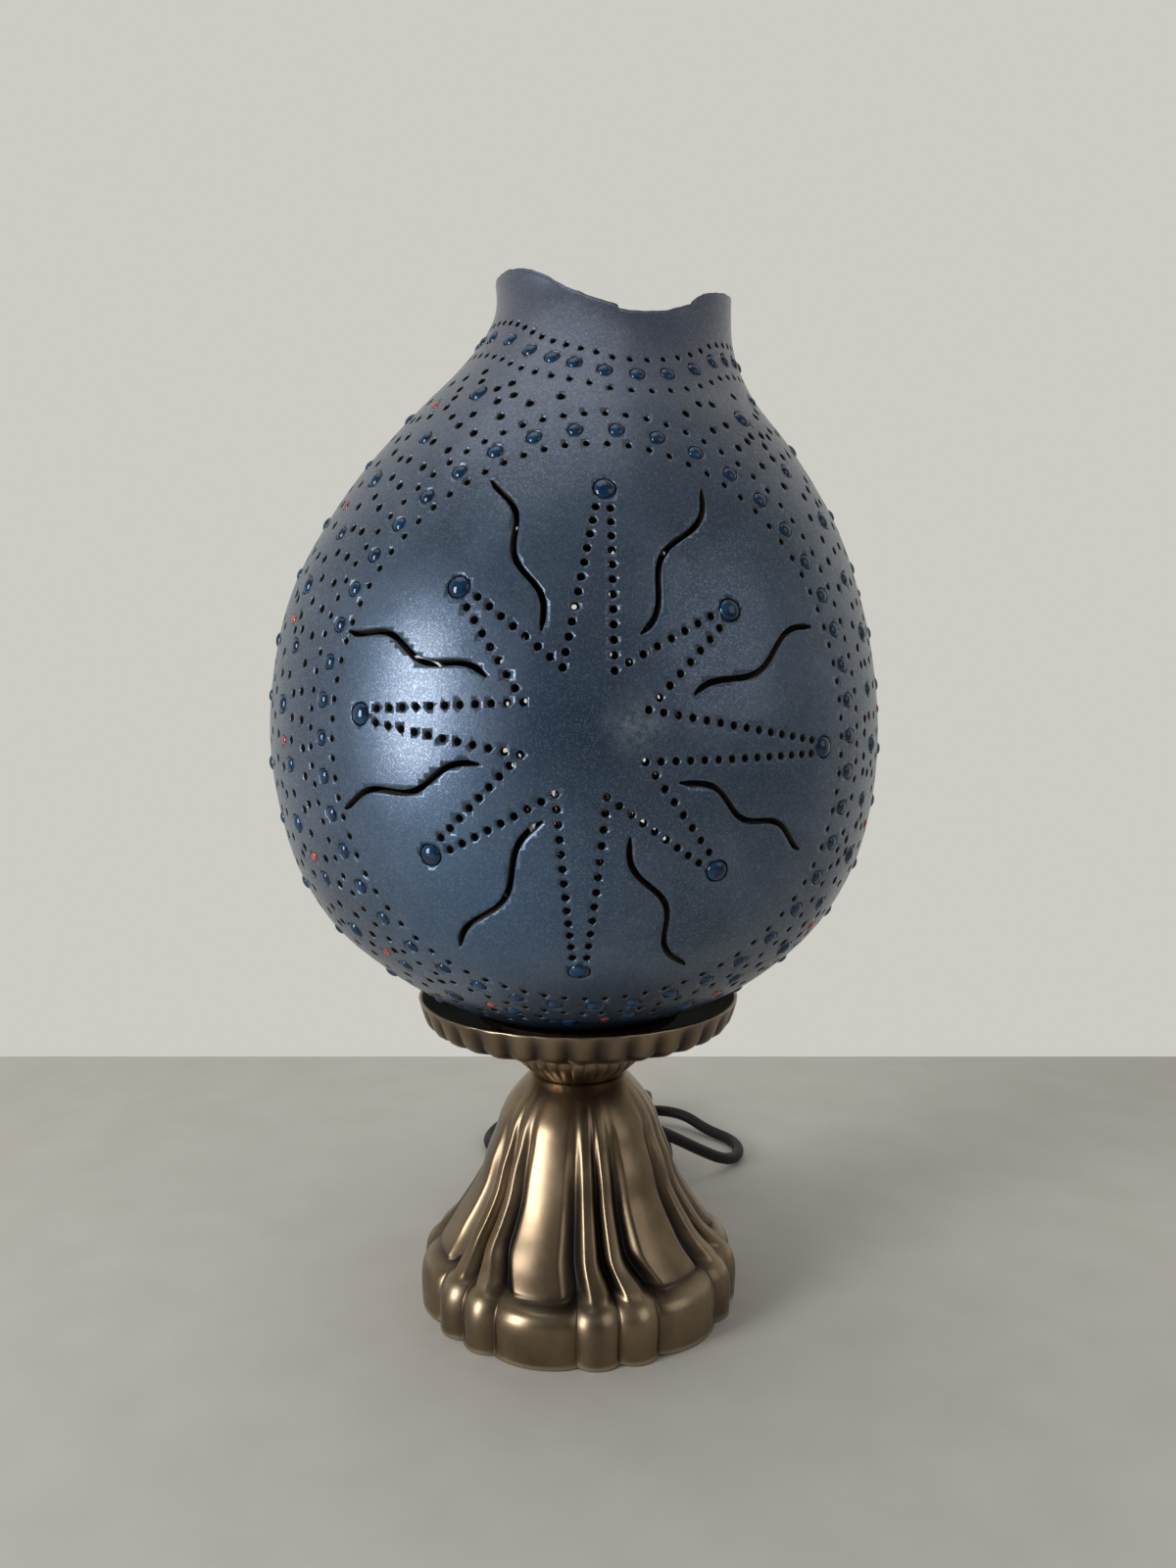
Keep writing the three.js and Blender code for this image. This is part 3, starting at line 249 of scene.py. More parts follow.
PAINT = add_paint()
# Cut gourd in the holes and slots: its tan darkened a lot, as painted shade in them
RAW_SHADED = add_grained(
    "raw_gourd_shaded", (160, 4, 0.6), (0.040, 0.033, 0.026), (0.085, 0.070, 0.052), 0.85, (0.4, 0.0003))
INSIDE = add_grained(
    "gourd_inside", (90, 5, 0.65), (0.018, 0.015, 0.012), (0.050, 0.040, 0.030), 0.9,
    (0.5, 0.0006))
BRASS = add_brass("antique_brass")
DISH_BRASS = add_brass("dish_brass", 0.9)
BRIGHT_BRASS = add_plain("bright_brass", (0.62, 0.43, 0.17), 0.28, 1.0)
# Brass darkened as painted shade, for the seat inside the dish under the gourd
SHADED_BRASS = add_plain("shaded_brass", (0.060, 0.045, 0.028), 0.5, 1.0)
COPPER = add_plain("copper", (0.64, 0.30, 0.16), 0.3, 1.0)
STEEL = add_plain("zinc_steel", (0.50, 0.49, 0.47), 0.34, 1.0)
NICKEL = add_plain("nickel", (0.62, 0.60, 0.57), 0.2, 1.0, 300, 0.03, 0.05)
ALUMINIUM = add_plain("aluminium", (0.66, 0.66, 0.65), 0.3, 1.0)
BAKELITE = add_plain("bakelite", (0.022, 0.020, 0.019), 0.35)
# The dish's near-black inside: partly dark oxide, partly painted shade under the gourd
DISH_OXIDE_AND_SHADE = add_plain("dish_oxide_and_shade", (0.012, 0.012, 0.013), 0.6)
CERAMIC = add_plain("ceramic", (0.74, 0.71, 0.64), 0.5)
CORD_BLACK = add_grained(
    "cord_black", (700, 3, 0.55), (0.006, 0.006, 0.007), (0.009, 0.009, 0.010), 0.5,
    (0.1, 0.0002), Specular_IOR_Level=0.25)
MOULDED = add_plain("moulded_black", (0.022, 0.022, 0.023), 0.5, 0.0, 1400, 0.18)
GLOSS_BLACK = add_plain("gloss_black", (0.016, 0.016, 0.017), 0.18)
RUBBER = add_plain("rubber", (0.020, 0.020, 0.020), 0.7, 0.0, 900, 0.15)
BLACK_GLASS = add_plain("black_glass", (0.012, 0.010, 0.014), 0.12)
FILAMENT = add_plain("filament_wire", (0.80, 0.62, 0.34), 0.4, 0.6)
FELT = add_grained(
    "felt", (900, 4, 0.7), (0.012, 0.02, 0.015), (0.04, 0.06, 0.045), 0.95, (0.6, 0.0004),
    Sheen_Weight=0.3)
BLUE_GLASS = add_bead_glass("blue_glass", (0.004, 0.058, 0.140), (0.001, 0.014, 0.052))
RED_GLASS = add_bead_glass("red_glass", (0.620, 0.110, 0.060), (0.300, 0.030, 0.020))
CLEAR_GLASS = add_clear_glass()

# Mesh helpers


def mesh_object(name, vertices, faces, materials, rounded=True):
    """A linked object from points in metres; rounded shades its faces smooth."""
    mesh = bpy.data.meshes.new(name)
    mesh.from_pydata([tuple(v) for v in vertices], [], [tuple(f) for f in faces])
    for material in materials:
        mesh.materials.append(material)
    mesh.polygons.foreach_set("use_smooth", [rounded] * len(mesh.polygons))
    mesh.update()
    made = bpy.data.objects.new(name, mesh)
    scene.collection.objects.link(made)
    return made


def grid_faces(rows, columns):
    """Quads between rings of points, and between the last ring and the first."""
    faces = []
    for i in range(rows):
        a, b = i * columns, ((i + 1) % rows) * columns
        for j in range(columns):
            k = (j + 1) % columns
            faces.append((a + j, a + k, b + k, b + j))
    return faces


def triples(items, name, kind=float):
    """Three numbers of every vertex or face of a mesh."""
    values = np.empty(len(items) * 3, dtype=kind)
    items.foreach_get(name, values)
    return values.reshape(-1, 3)


def outward(made):
    """Turns the faces outwards if the closed mesh is inside out."""
    mesh = made.data
    mesh.calc_loop_triangles()
    points = triples(mesh.vertices, "co")
    a, b, c = points[triples(mesh.loop_triangles, "vertices", np.int64).T]
    if np.einsum("ij,ij->i", a, np.cross(b, c)).sum() < 0:
        mesh.flip_normals()
    return made


def turned(name, rows, groove, wear_and_highlight, materials):
    """A closed form from rings of points in mm, with how dark it is at each, from patina and painted
    shade, and how bright, from rubbed wear and painted highlight.
    """
    faces = grid_faces(len(rows), len(rows[0]))
    made = mesh_object(name, np.concatenate(rows) * MM, faces, materials)
    for attribute, values in (("groove", groove), ("wear_and_highlight", wear_and_highlight)):
        layer = made.data.attributes.new(attribute, "FLOAT", "POINT")
        layer.data.foreach_set("value", np.concatenate(values).astype(np.float32))
    return outward(made)


def ring_azimuths(columns):
    """Even azimuths round the lamp, in radians from the front."""
    return np.arange(columns) * 2 * np.pi / columns


def around(r, azimuth, z):
    """A point from its radius, azimuth from the front in radians, and height, in mm."""
    return np.stack(np.broadcast_arrays(r * np.sin(azimuth), -r * np.cos(azimuth), z), -1)


def smooth(knots, x, column=1):
    """The same smooth curve through knots as in the CAD source."""
    table = np.asarray(knots, dtype=float)
    at, value = table[:, 0], table[:, column]
    rise = np.diff(value) / np.diff(at)
    slope = np.concatenate([rise[:1], (rise[:-1] + rise[1:]) / 2, rise[-1:]])
    x = np.asarray(x, dtype=float)
    i = np.clip(np.searchsorted(at, x, side="left") - 1, 0, len(at) - 2)
    width = at[i + 1] - at[i]
    t = np.clip((x - at[i]) / width, 0, 1)
    bend = t * (1 - t) * width * ((1 - t) * slope[i] - t * slope[i + 1])
    return value[i] + (value[i + 1] - value[i]) * t * t * (3 - 2 * t) + bend


# Levels and the rod's hole, as in the CAD source, in mm
BELL_BOTTOM = 1.5
CUP_BOTTOM = 92.3
DISH_BOTTOM = 104.8
GOURD_BOTTOM = 119.5
ROD_HOLE = 5.3
# Where the cord leaves the bell: its azimuth in degrees, its height, and the hole
LEAD_AZIMUTH = 165
LEAD_HEIGHT = 42
LEAD_HOLE = 11.2

# Gourd

# Height above its bottom, radius, and how far its middle leans to the right
GOURD_OUTSIDE = [
    [0, 36, 0], [3, 45, 0], [7.5, 55, 0], [14.5, 68, 0.2], [24.5, 81.5, 0.2],
    [38.5, 96, -0.5], [58.5, 108.3, -0.7], [80.5, 115.2, -0.8], [112.5, 118.6, -1.3],
    [146.5, 115, -1.2], [168.5, 109, -0.6], [188.5, 100.2, 1.2], [206.5, 89.4, 2.4],
    [222.5, 77.5, 3.8], [236.5, 65.5, 5], [248.5, 56.3, 7.8], [260.5, 49.5, 10.9],
    [272.5, 46, 13.6], [284.5, 45.8, 14], [292.5, 46.8, 13.2],
]
# Azimuth in degrees, and the height of the rim there
GOURD_RIM = [
    [-180, 282], [-140, 284.5], [-105, 285.7], [-68, 285.1], [-53, 283.7], [-37.5, 279.6],
    [-24, 273.3], [-11, 268.5], [0, 265.3], [5, 263.4], [16, 262.7], [26, 264.4],
    [40, 269.8], [45, 272.6], [71, 278], [83, 278.9], [110, 280], [145, 281], [180, 282],
]
# Steps in the rim: azimuth in degrees, half the height, and how far they fade out
RIM_STEPS = ((40.8, 1.3, 3.5), (3.6, -0.55, 2.0))
GOURD_OPENING = 31.5
GOURD_CEILING = 292
NECK_START = 222.5
STAR_HEIGHT = 117.0


def gourd_radius(h):
    return smooth(GOURD_OUTSIDE, h, 1)


def gourd_lean(h):
    return smooth(GOURD_OUTSIDE, h, 2)


def gourd_slope(h):
    """How fast the radius grows with the height."""
    return gourd_radius(np.asarray(h) + 0.5) - gourd_radius(np.asarray(h) - 0.5)


def gourd_wall(h):
    t = np.clip((np.asarray(h) - NECK_START + 20) / 60, 0, 1)
    return 4.5 - 1.1 * t * t * (3 - 2 * t)


def gourd_point(azimuth, h, deep=0.0):
    """A point of the gourd, `deep` mm under its outside, square to it."""
    slope = gourd_slope(h)
    length = np.hypot(1, slope)
    z = GOURD_BOTTOM + h + deep * slope / length
    made = around(gourd_radius(h) - deep / length, azimuth, z)
    made[..., 0] += gourd_lean(h)
    return made


def half_turns(azimuth):
    """Degrees from -180 to 180."""
    return (np.degrees(azimuth) + 180) % 360 - 180


def rim_height(azimuth):
    return smooth(GOURD_RIM, half_turns(azimuth))


def broken_edge(azimuth):
    """Small ripples, a step and a chip along the cut rim, in mm."""
    degrees = half_turns(azimuth)
    ripple = 0.10 * np.sin(23 * azimuth + 1.1) + 0.07 * np.sin(41 * azimuth)
    ripple = ripple + 0.05 * np.sin(67 * azimuth)
    steps = np.zeros_like(degrees)
    for at, half, reach in RIM_STEPS:
        past = degrees - at
        steps = steps + half * np.sign(past) * np.exp(-np.abs(past) / reach)
    return ripple + steps - 0.3


def neck_height(azimuth, part):
    return NECK_START + (rim_height(azimuth) + broken_edge(azimuth) * part - NECK_START) * part


def gourd_body():
    """The gourd before it is drilled: outside, rim, inside and bottom opening."""
    columns = 360
    azimuth = ring_azimuths(columns)
    rings = [gourd_point(azimuth, np.full(columns, h)) for h in np.concatenate([
        [0, 1.2, 2.4], np.linspace(4, NECK_START, 110)])]
    rings += [gourd_point(azimuth, neck_height(azimuth, p)) for p in np.linspace(0, 1, 34)[1:]]
    edge = []
    for part in np.linspace(1, 0, 14):
        h = neck_height(azimuth, part) - (0.5 if part == 1 else 0)
        edge.append(gourd_point(azimuth, h, gourd_wall(h)))
    inner = [gourd_point(azimuth, np.full(columns, h), gourd_wall(h))
             for h in np.linspace(215, 4, 40)]
    inner += [around(GOURD_OPENING, azimuth, GOURD_BOTTOM + 3.6),
              around(GOURD_OPENING, azimuth, GOURD_BOTTOM)]
    every = np.concatenate(rings + edge + inner) * MM
    faces = grid_faces(len(rings) + len(edge) + len(inner), columns)
    return outward(mesh_object("gourd", every, faces, [PAINT, RAW_SHADED, INSIDE]))


def wall_normal(at):
    """The way out of the gourd, square to its outside, at a point in mm."""
    h = at[2] - GOURD_BOTTOM
    normal = np.array([at[0] - gourd_lean(h), at[1], 0.0])
    normal /= np.linalg.norm(normal)
    normal[2] = -gourd_slope(h)
    return normal / np.linalg.norm(normal)


def surface_at(direction):
    """Where a line from the star's middle leaves the gourd, and the way out there, in mm."""
    middle = np.array([0, 0, GOURD_BOTTOM + STAR_HEIGHT])
    direction = np.asarray(direction, dtype=float)
    near, far = 20.0, 260.0
    for _ in range(40):
        t = (near + far) / 2
        p = middle + direction * t
        h = min(p[2] - GOURD_BOTTOM, GOURD_CEILING)
        outside = math.hypot(p[0] - gourd_lean(h), p[1]) - gourd_radius(h)
        near, far = (near, t) if outside > 0 else (t, far)
    at = middle + direction * near
    return at, wall_normal(at)


def direction_round(centre_azimuth, side, angle, clock):
    """A direction from its angle and its clock angle round a centre, in degrees."""
    azimuth = math.radians(centre_azimuth + (180 if side == "back" else 0))
    a, c = math.radians(angle), math.radians(clock)
    ahead = np.array([math.sin(azimuth), -math.cos(azimuth), 0])
    right = np.array([math.cos(azimuth), math.sin(azimuth), 0])
    out = right * math.sin(c) + np.array([0, 0, math.cos(c)])
    return ahead * math.cos(a) + out * math.sin(a)


def on_star(side, angle, clock):
    return surface_at(direction_round(STAR_AZIMUTH, side, angle, clock))


def on_field(side, angle, clock):
    return surface_at(direction_round(FIELD_AZIMUTH, side, angle, clock))


def on_neck(azimuth, below):
    """A point of the neck, `below` mm under its rim."""
    a = math.radians(azimuth)
    h = float(rim_height(np.array(a))) - below
    at = gourd_point(np.array(a), np.array(h))
    return at, wall_normal(at)


# Share of the wall's slope that a small hole takes, and a bead's hole over the bead
DRILL_STEEPNESS = 0.3
BEAD_HOLE = 1.07
# How far scattered holes stay above the gourd's bottom, and under its rim
LOWEST_HOLE = 10
COLLAR_REACH = 38


class Drilling:
    """Every hole through the gourd, and the glass beads glued into some of them."""

    def __init__(self):
        self.centres = np.empty((0, 3))
        self.places = []
        self.beads = []

    def hole(self, place, diameter, steepness=DRILL_STEEPNESS):
        """A hole that leans towards the level, as if drilled by hand."""
        at, normal = place
        way = normal * np.array([1, 1, steepness])
        self.centres = np.vstack([self.centres, at])
        self.places.append((at, way / np.linalg.norm(way), diameter))

    def bead(self, place, diameter, color="blue", node=None):
        self.hole(place, diameter * BEAD_HOLE, 1)
        self.beads.append((*place, diameter, color, node))

    def is_free(self, place, diameter, apart=1.9):
        """Whether a new hole keeps off the others, the collar and the bottom."""
        at = place[0]
        h = at[2] - GOURD_BOTTOM
        azimuth = math.atan2(at[0] - float(gourd_lean(h)), -at[1])
        if h < LOWEST_HOLE or h > float(rim_height(np.array(azimuth))) - COLLAR_REACH:
            return False
        reach = np.array([d for *_, d in self.places]) / 2 + diameter / 2
        return bool((np.linalg.norm(self.centres - at, axis=1) - reach).min() > apart)


drilling = Drilling()

# Ornament, in degrees over the gourd, with diameters in mm. Star and field have own centres
STAR_AZIMUTH = 1.5
FIELD_AZIMUTH = 4.5
# Each ray's tip: its angle from the star's centre and its clock angle
STAR_TIPS = [
    (38, 5), (30, 50.5), (43, 94.5), (30.5, 136.5), (40, 181), (31, 231), (37, 274), (29.5, 319),
]
TIP_BEAD = 7.4
TIP_GAP = 3.4
STAR_VALLEY = 10.1
VALLEY_TURN = 26
RAY_TIP_HALF = 1.15
RAY_HOLE = 2.7
DOT_SPACING = 2.4
RING_BEADS = 45
RING_BEAD = 5.2
# The two rows of holes beside the ring: how far out of it, and how many
RING_ROWS = ((-3.0, 84), (3.1, 94))
ROW_HOLE = 2.3
FLOWERS = 16
RED_BEAD = 3.6
FIELD_HOLE = 3


def on_plane(angle, clock):
    """An angle and a clock angle as a flat point, in degrees."""
    return np.array([angle * math.sin(math.radians(clock)), angle * math.cos(math.radians(clock))])


def off_plane(p):
    return float(np.hypot(*p)), math.degrees(math.atan2(p[0], p[1]))


def add_star(side):
    """Eight rays, each two dotted lines from the valleys to a large bead at the tip."""
    for i, (angle, clock) in enumerate(STAR_TIPS):
        drilling.bead(on_star(side, angle, clock), TIP_BEAD, node=f"bead_{side}_{i + 1}")
        for way in (-1, 1):
            valley = on_plane(STAR_VALLEY, VALLEY_TURN + 45 * (i - (way < 0)))
            aside = on_plane(RAY_TIP_HALF * way, clock + 90)
            end = on_plane(angle - TIP_GAP, clock) + aside
            count = round(float(np.linalg.norm(end - valley)) / DOT_SPACING)
            for k in range(1 if way > 0 else 0, count + 1):
                dot = off_plane(valley + (end - valley) * k / count)
                drilling.hole(on_star(side, *dot), RAY_HOLE)


def ring_angle(clock):
    c = math.radians(clock)
    return 49.6 - 1.2 * math.cos(c) - 0.6 * math.sin(c) + 0.75 * math.cos(2 * c)


def add_ring(side):
    """The ring of beads round the star, between two rows of small holes."""
    for i in range(RING_BEADS):
        clock = 360 * i / RING_BEADS + 4
        drilling.bead(on_field(side, ring_angle(clock), clock), RING_BEAD)
    for offset, count in RING_ROWS:
        for i in range(count):
            clock = 360 * (i + 0.5) / count
            drilling.hole(on_field(side, ring_angle(clock) + offset, clock), ROW_HOLE)


# Azimuths of the beads under the rim: uneven at the front, even round the back
COLLAR = [-55, -39, -25, -14.5, -6, 4, 14, 24, 35, 46, 56, 67, *np.linspace(79, 293, 19)]
COLLAR_BEAD = 5.4
COLLAR_HOLES = 62
# How far under the rim, in mm: the beads, and the row of holes on either side
COLLAR_BELOW = 26
COLLAR_ROWS = (20.2, 33)


def add_collar():
    """The ring of beads under the rim, between two rows of small holes."""
    for azimuth in COLLAR:
        drilling.bead(on_neck(azimuth, COLLAR_BELOW), COLLAR_BEAD)
    for below in COLLAR_ROWS:
        for i in range(COLLAR_HOLES):
            drilling.hole(on_neck(360 * i / COLLAR_HOLES, below), ROW_HOLE)


def beside(side, angle, clock, reach, way):
    """A place `reach` degrees off a place of the field, in the direction `way` in radians."""
    turn = reach * math.sin(way) / math.sin(math.radians(angle))
    return on_field(side, angle + reach * math.cos(way), clock + turn)


def try_bead(place, diameter, color="blue"):
    if drilling.is_free(place, diameter, 1.2):
        drilling.bead(place, diameter, color)


def try_hole(place, diameter):
    if drilling.is_free(place, diameter):
        drilling.hole(place, diameter)


def add_flower(side, angle, clock, diameter, petals):
    """A large bead ringed by holes."""
    place = on_field(side, angle, clock)
    if not drilling.is_free(place, diameter, 3):
        return
    drilling.bead(place, diameter)
    for i in range(petals):
        way = 2 * math.pi * (i + 0.5) / petals
        try_hole(beside(side, angle, clock, 0.62 * diameter + 1.3, way), FIELD_HOLE)


def add_outer_field(side):
    """Flowers, smaller beads and scattered holes between the ring and the sides."""
    for i in range(FLOWERS):
        clock = 4 + 360 * i / FLOWERS
        angle = 62.5 + 3 * math.cos(math.radians(clock - 320))
        half = 180 / FLOWERS
        add_flower(side, angle, clock, 6.8, 8)
        add_flower(side, angle + 14.5, clock + half, 6.2, 7)
        try_bead(on_field(side, angle - 2.4, clock + half), 5.4)
        red = 66 + 8 * math.cos(math.radians(clock))
        try_bead(on_field(side, red, clock + 1.4 * half), RED_BEAD, "red")
        try_bead(on_field(side, angle + 12, clock + 0.1 * half), 5.2)
        try_bead(on_field(side, angle + 21, clock + 0.7 * half), RED_BEAD, "red")
    for row, angle in enumerate(np.arange(56, 89, 4.1)):
        count = round(360 * math.sin(math.radians(angle)) / 4.6)
        for i in range(count):
            wobble = 0.7 * math.sin(7.3 * i + 2.9 * row)
            clock = 360 * (i + 0.5 * (row % 2)) / count
            try_hole(on_field(side, angle + wobble, clock), FIELD_HOLE)


def bar_faces(start, rings, sides):
    """The faces of a closed bar whose rings of points follow one another from number `start`."""
    last = start + (rings - 1) * sides
    faces = [tuple(range(start + sides - 1, start - 1, -1)), tuple(range(last, last + sides))]
    for a in range(start, last, sides):
        for j in range(sides):
            k = (j + 1) % sides
            faces.append((a + j, a + k, a + sides + k, a + sides + j))
    return faces


def cutter(places, sides=12, inner=-9.0, outer=4.0):
    """One mesh of round bars, one for each hole, from `inner` to `outer` mm along it."""
    vertices, faces = [], []
    for at, normal, diameter in places:
        turn = Vector(normal).to_track_quat("Z", "Y").to_matrix()
        faces += bar_faces(len(vertices), 2, sides)
        for depth in (inner, outer):
            for j in range(sides):
                a = 2 * math.pi * j / sides
                r = diameter / 2
                local = turn @ Vector((r * math.cos(a), r * math.sin(a), depth))
                vertices.append((np.array(at) + np.array(local)) * MM)
    return mesh_object("cutter", vertices, faces, [RAW_SHADED], rounded=False)


# Wavy slots, each along a straight line across the field, in degrees: the line's direction,
# where the slot starts, how far the line passes to the right of the field's centre, the
# height of the waves, their length, and where the first one starts
SLOTS = [
    (344, 17, -4.4, 1.1, 15, 332), (27, 15.5, -2.4, 1.5, 18.4, 26), (60, 14.6, 3.1, 1.4, 19, 227),
    (119, 13.6, 0.3, 1.1, 14, 128), (157, 16, 2.7, 1.3, 16.5, 355), (210, 16, 1.4, 1.3, 18.4, 358),
    (252, 19.3, 1.2, 1.1, 16, 357), (292, 19.5, 0.7, 1.1, 15.3, 17),
]
SLOT_REACH = 26.8
SLOT_WIDTH = 2.1
SLOT_STEPS = 36
# Turn of the slots at the back, so that no light shines straight through two
BACK_TURN = 5


def slot_place(side, slot, part):
    """A place on the middle line of a slot, `part` of the way along it."""
    clock, start, aside, wave, length, phase = slot
    gone = SLOT_REACH * part
    out = start + gone
    across = aside + wave * math.sin(math.radians(360 * gone / length + phase))
    clock += BACK_TURN if side == "back" else 0
    return on_field(side, math.hypot(out, across), clock + math.degrees(math.atan2(across, out)))


def slot_cutters(side):
    """Bars that follow the wavy slots through the wall."""
    vertices, faces = [], []
    steps = SLOT_STEPS
    for slot in SLOTS:
        places = [slot_place(side, slot, i / steps) for i in range(steps + 1)]
        faces += bar_faces(len(vertices), steps + 1, 4)
        for i, (at, normal) in enumerate(places):
            before = places[max(0, i - 1)][0]
            after = places[min(steps, i + 1)][0]
            along = (after - before) / np.linalg.norm(after - before)
            across = np.cross(along, normal)
            across /= np.linalg.norm(across)
            half = SLOT_WIDTH / 2 * min(1.0, 0.4 + 0.3 * min(i, steps - i))
            for way, depth in ((-1, -9.0), (1, -9.0), (1, 3.0), (-1, 3.0)):
                vertices.append((at + across * way * half + normal * depth) * MM)
    return outward(mesh_object("slots_" + side, vertices, faces, [RAW_SHADED], rounded=False))


def cut(made, tool):
    """Cuts the tool out of an object and removes the tool."""
    change = made.modifiers.new("cut", "BOOLEAN")
    change.operation = "DIFFERENCE"
    change.solver = "MANIFOLD"
    change.object = tool
    bpy.context.view_layer.update()
    ready = made.evaluated_get(bpy.context.evaluated_depsgraph_get())
    fresh = bpy.data.meshes.new_from_object(ready)
    made.modifiers.clear()
    old = made.data
    made.data = fresh
    bpy.data.meshes.remove(old)
    bpy.data.objects.remove(tool)


def paint_depths(made):
    """Paint outside, raw gourd darkened with painted shade where it is cut, and the dark inside."""
    mesh = made.data
    centres = triples(mesh.polygons, "center") / MM
    h = np.clip(centres[:, 2] - GOURD_BOTTOM, 0, GOURD_CEILING)
    out = np.stack([centres[:, 0] - gourd_lean(h), centres[:, 1]], -1)
    radial = np.hypot(out[:, 0], out[:, 1])
    slope = gourd_slope(h)
    depth = (gourd_radius(h) - radial) / np.hypot(1, slope)
    flat = out / radial[:, None]
    way = np.stack([flat[:, 0], flat[:, 1], -slope], -1)
    way /= np.linalg.norm(way, axis=1)[:, None]
    facing = np.einsum("ij,ij->i", way, triples(mesh.polygons, "normal"))
    kinds = np.where(facing < -0.6, 2, np.where((depth > 0.12) & (facing < 0.6), 1, 0))
    mesh.polygons.foreach_set("material_index", kinds.astype(np.int32))
    mesh.polygons.foreach_set("use_smooth", kinds != 1)
    mesh.update()


# Shares of a bead's diameter
LENS_FLATNESS = 0.6
LENS_SUNK = 0.12


def lens(at, normal, diameter, segments=20, rings=10):
    """A round glass bead, flattened and sunk a little into its hole, in mm."""
    turn = np.array(Vector(normal).to_track_quat("Z", "Y").to_matrix())
    polar = np.linspace(0, np.pi, rings + 1)[1:-1, None]
    a = np.linspace(0, 2 * np.pi, segments, endpoint=False)[None, :]
    shell = np.stack(np.broadcast_arrays(
        np.sin(polar) * np.cos(a), np.sin(polar) * np.sin(a), LENS_FLATNESS * np.cos(polar)), -1)
    poles = [[0, 0, LENS_FLATNESS], [0, 0, -LENS_FLATNESS]]
    local = np.concatenate([shell.reshape(-1, 3), poles]) * diameter / 2
    return (local - [0, 0, LENS_SUNK * diameter]) @ turn.T + at


def lens_faces(start, segments=20, rings=10):
    faces = []
    top = start + (rings - 1) * segments
    last = top - segments
    for j in range(segments):
        k = (j + 1) % segments
        for i in range(rings - 2):
            a = start + i * segments
            faces.append((a + j, a + segments + j, a + segments + k, a + k))
        faces.append((top, start + j, start + k))
        faces.append((top + 1, last + k, last + j))
    return faces


def add_beads():
    """One piece for each colour; the blue one stands for the CAD's tip beads."""
    for color, look in (("blue", BLUE_GLASS), ("red", RED_GLASS)):
        chosen = [bead for bead in drilling.beads if bead[3] == color]
        parts = [lens(at, normal, diameter) for at, normal, diameter, _, _ in chosen]
        faces = [face for i in range(len(parts)) for face in lens_faces(i * len(parts[0]))]
        made = outward(mesh_object("beads_" + color, np.concatenate(parts) * MM, faces, [look]))
        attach(made, "shade")
        if color == "blue":
            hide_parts(*[node for *_, node in chosen if node])


def add_gourd():
    """The drilled gourd. Later places keep off earlier ones, so the order counts."""
    for side in ("front", "back"):
        add_star(side)
        add_ring(side)
    add_collar()
    for side in ("front", "back"):
        add_outer_field(side)
    made = gourd_body()
    cut(made, cutter(drilling.places))
    for side in ("front", "back"):
        cut(made, slot_cutters(side))
    paint_depths(made)
    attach(made, "shade")
    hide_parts("gourd_shell")
    add_beads()


# Brass foot

# The bell repeats each sixth of a turn: two narrow ridges and one wide panel over its band.
# Height above its bottom edge and radius, on the ridges and on the panel
BELL_RIDGES = [
    [0, 64.9], [1.4, 65], [11, 65.2], [16, 64], [19, 62], [20.8, 60], [22.8, 58.2], [28.5, 53],
    [34.5, 48.9], [40.5, 45], [48.5, 40.7], [59.5, 37.2], [67.5, 34], [75.5, 31.2], [82.5, 26.6],
    [88.5, 21.3], [90.5, 19],
]
BELL_PANELS = [
    [0, 64.9], [1.4, 65], [11, 65.2], [16, 64], [18.4, 62.2], [19.6, 60.4], [20.8, 58.3],
    [22.8, 57.1], [28.5, 52.8], *BELL_RIDGES[8:],
]
# Height, and how deep the cuts and the grooves are there
BELL_DEPTHS = [
    [0, 3], [1.4, 3.4], [16, 3.4], [19.2, 4], [20.8, 4.8], [22.8, 5.2], [28.5, 5], [34.5, 4.5],
    [40.5, 4], [48.5, 3.4], [59.5, 2.4], [67.5, 1.5], [75.5, 0.7], [82.5, 0.25], [88.5, 0],
    [90.5, 0],
]
BELL_REPEAT = 60
# Where each block of the band starts and ends, in degrees
LOBES = [(0, 15), (15, 30), (30, 60)]
# Where each groove is above the band, and half its width, in degrees
GROOVES = [(0, 6.4), (15, 4.6), (30, 6.4), (60, 6.4)]
# Azimuth, and how far the grooves run to the left above the band, in degrees
BELL_SHIFT = [[0, -1.8], [15, -3.6], [30, -6], [60, -1.8]]
# The line of the hollow, as radius and height
BELL_INSIDE = [
    (ROD_HOLE, 90.5), (ROD_HOLE, 88), (17, 88), (27.9, 74.5), (32, 58.5), (34.4, 47.5),
    (41.1, 33.5), (48.4, 21.8), (55, 12), (55, 0), (57.4, 0), (57.4, -1.2),
]


def rise(x, start, end):
    """0 below start, 1 above end, and smooth between them."""
    t = np.clip((np.asarray(x, dtype=float) - start) / (end - start), 0, 1)
    return t * t * (3 - 2 * t)


def across_lobe(degrees):
    """How far across its lobe each azimuth is, from 0 to 1."""
    across = np.zeros_like(degrees)
    for start, end in LOBES:
        inside = (degrees >= start) & (degrees < end)
        across = np.where(inside, (degrees - start) / (end - start), across)
    return across


def band_fullness(degrees):
    """Round blocks between sharp cuts: 0 in a cut, 1 on a block's crest."""
    power = np.where(degrees < 30, 0.8, 0.6)
    return np.sin(np.pi * across_lobe(degrees)) ** power


def body_fullness(degrees):
    """Broad lobes between narrow channels above the band."""
    full = np.ones_like(degrees)
    for middle, half in GROOVES:
        x = np.clip(np.abs(degrees - middle) / half, 0, 1)
        full = np.minimum(full, 1 - (1 - x * x) ** 2.5)
    return full


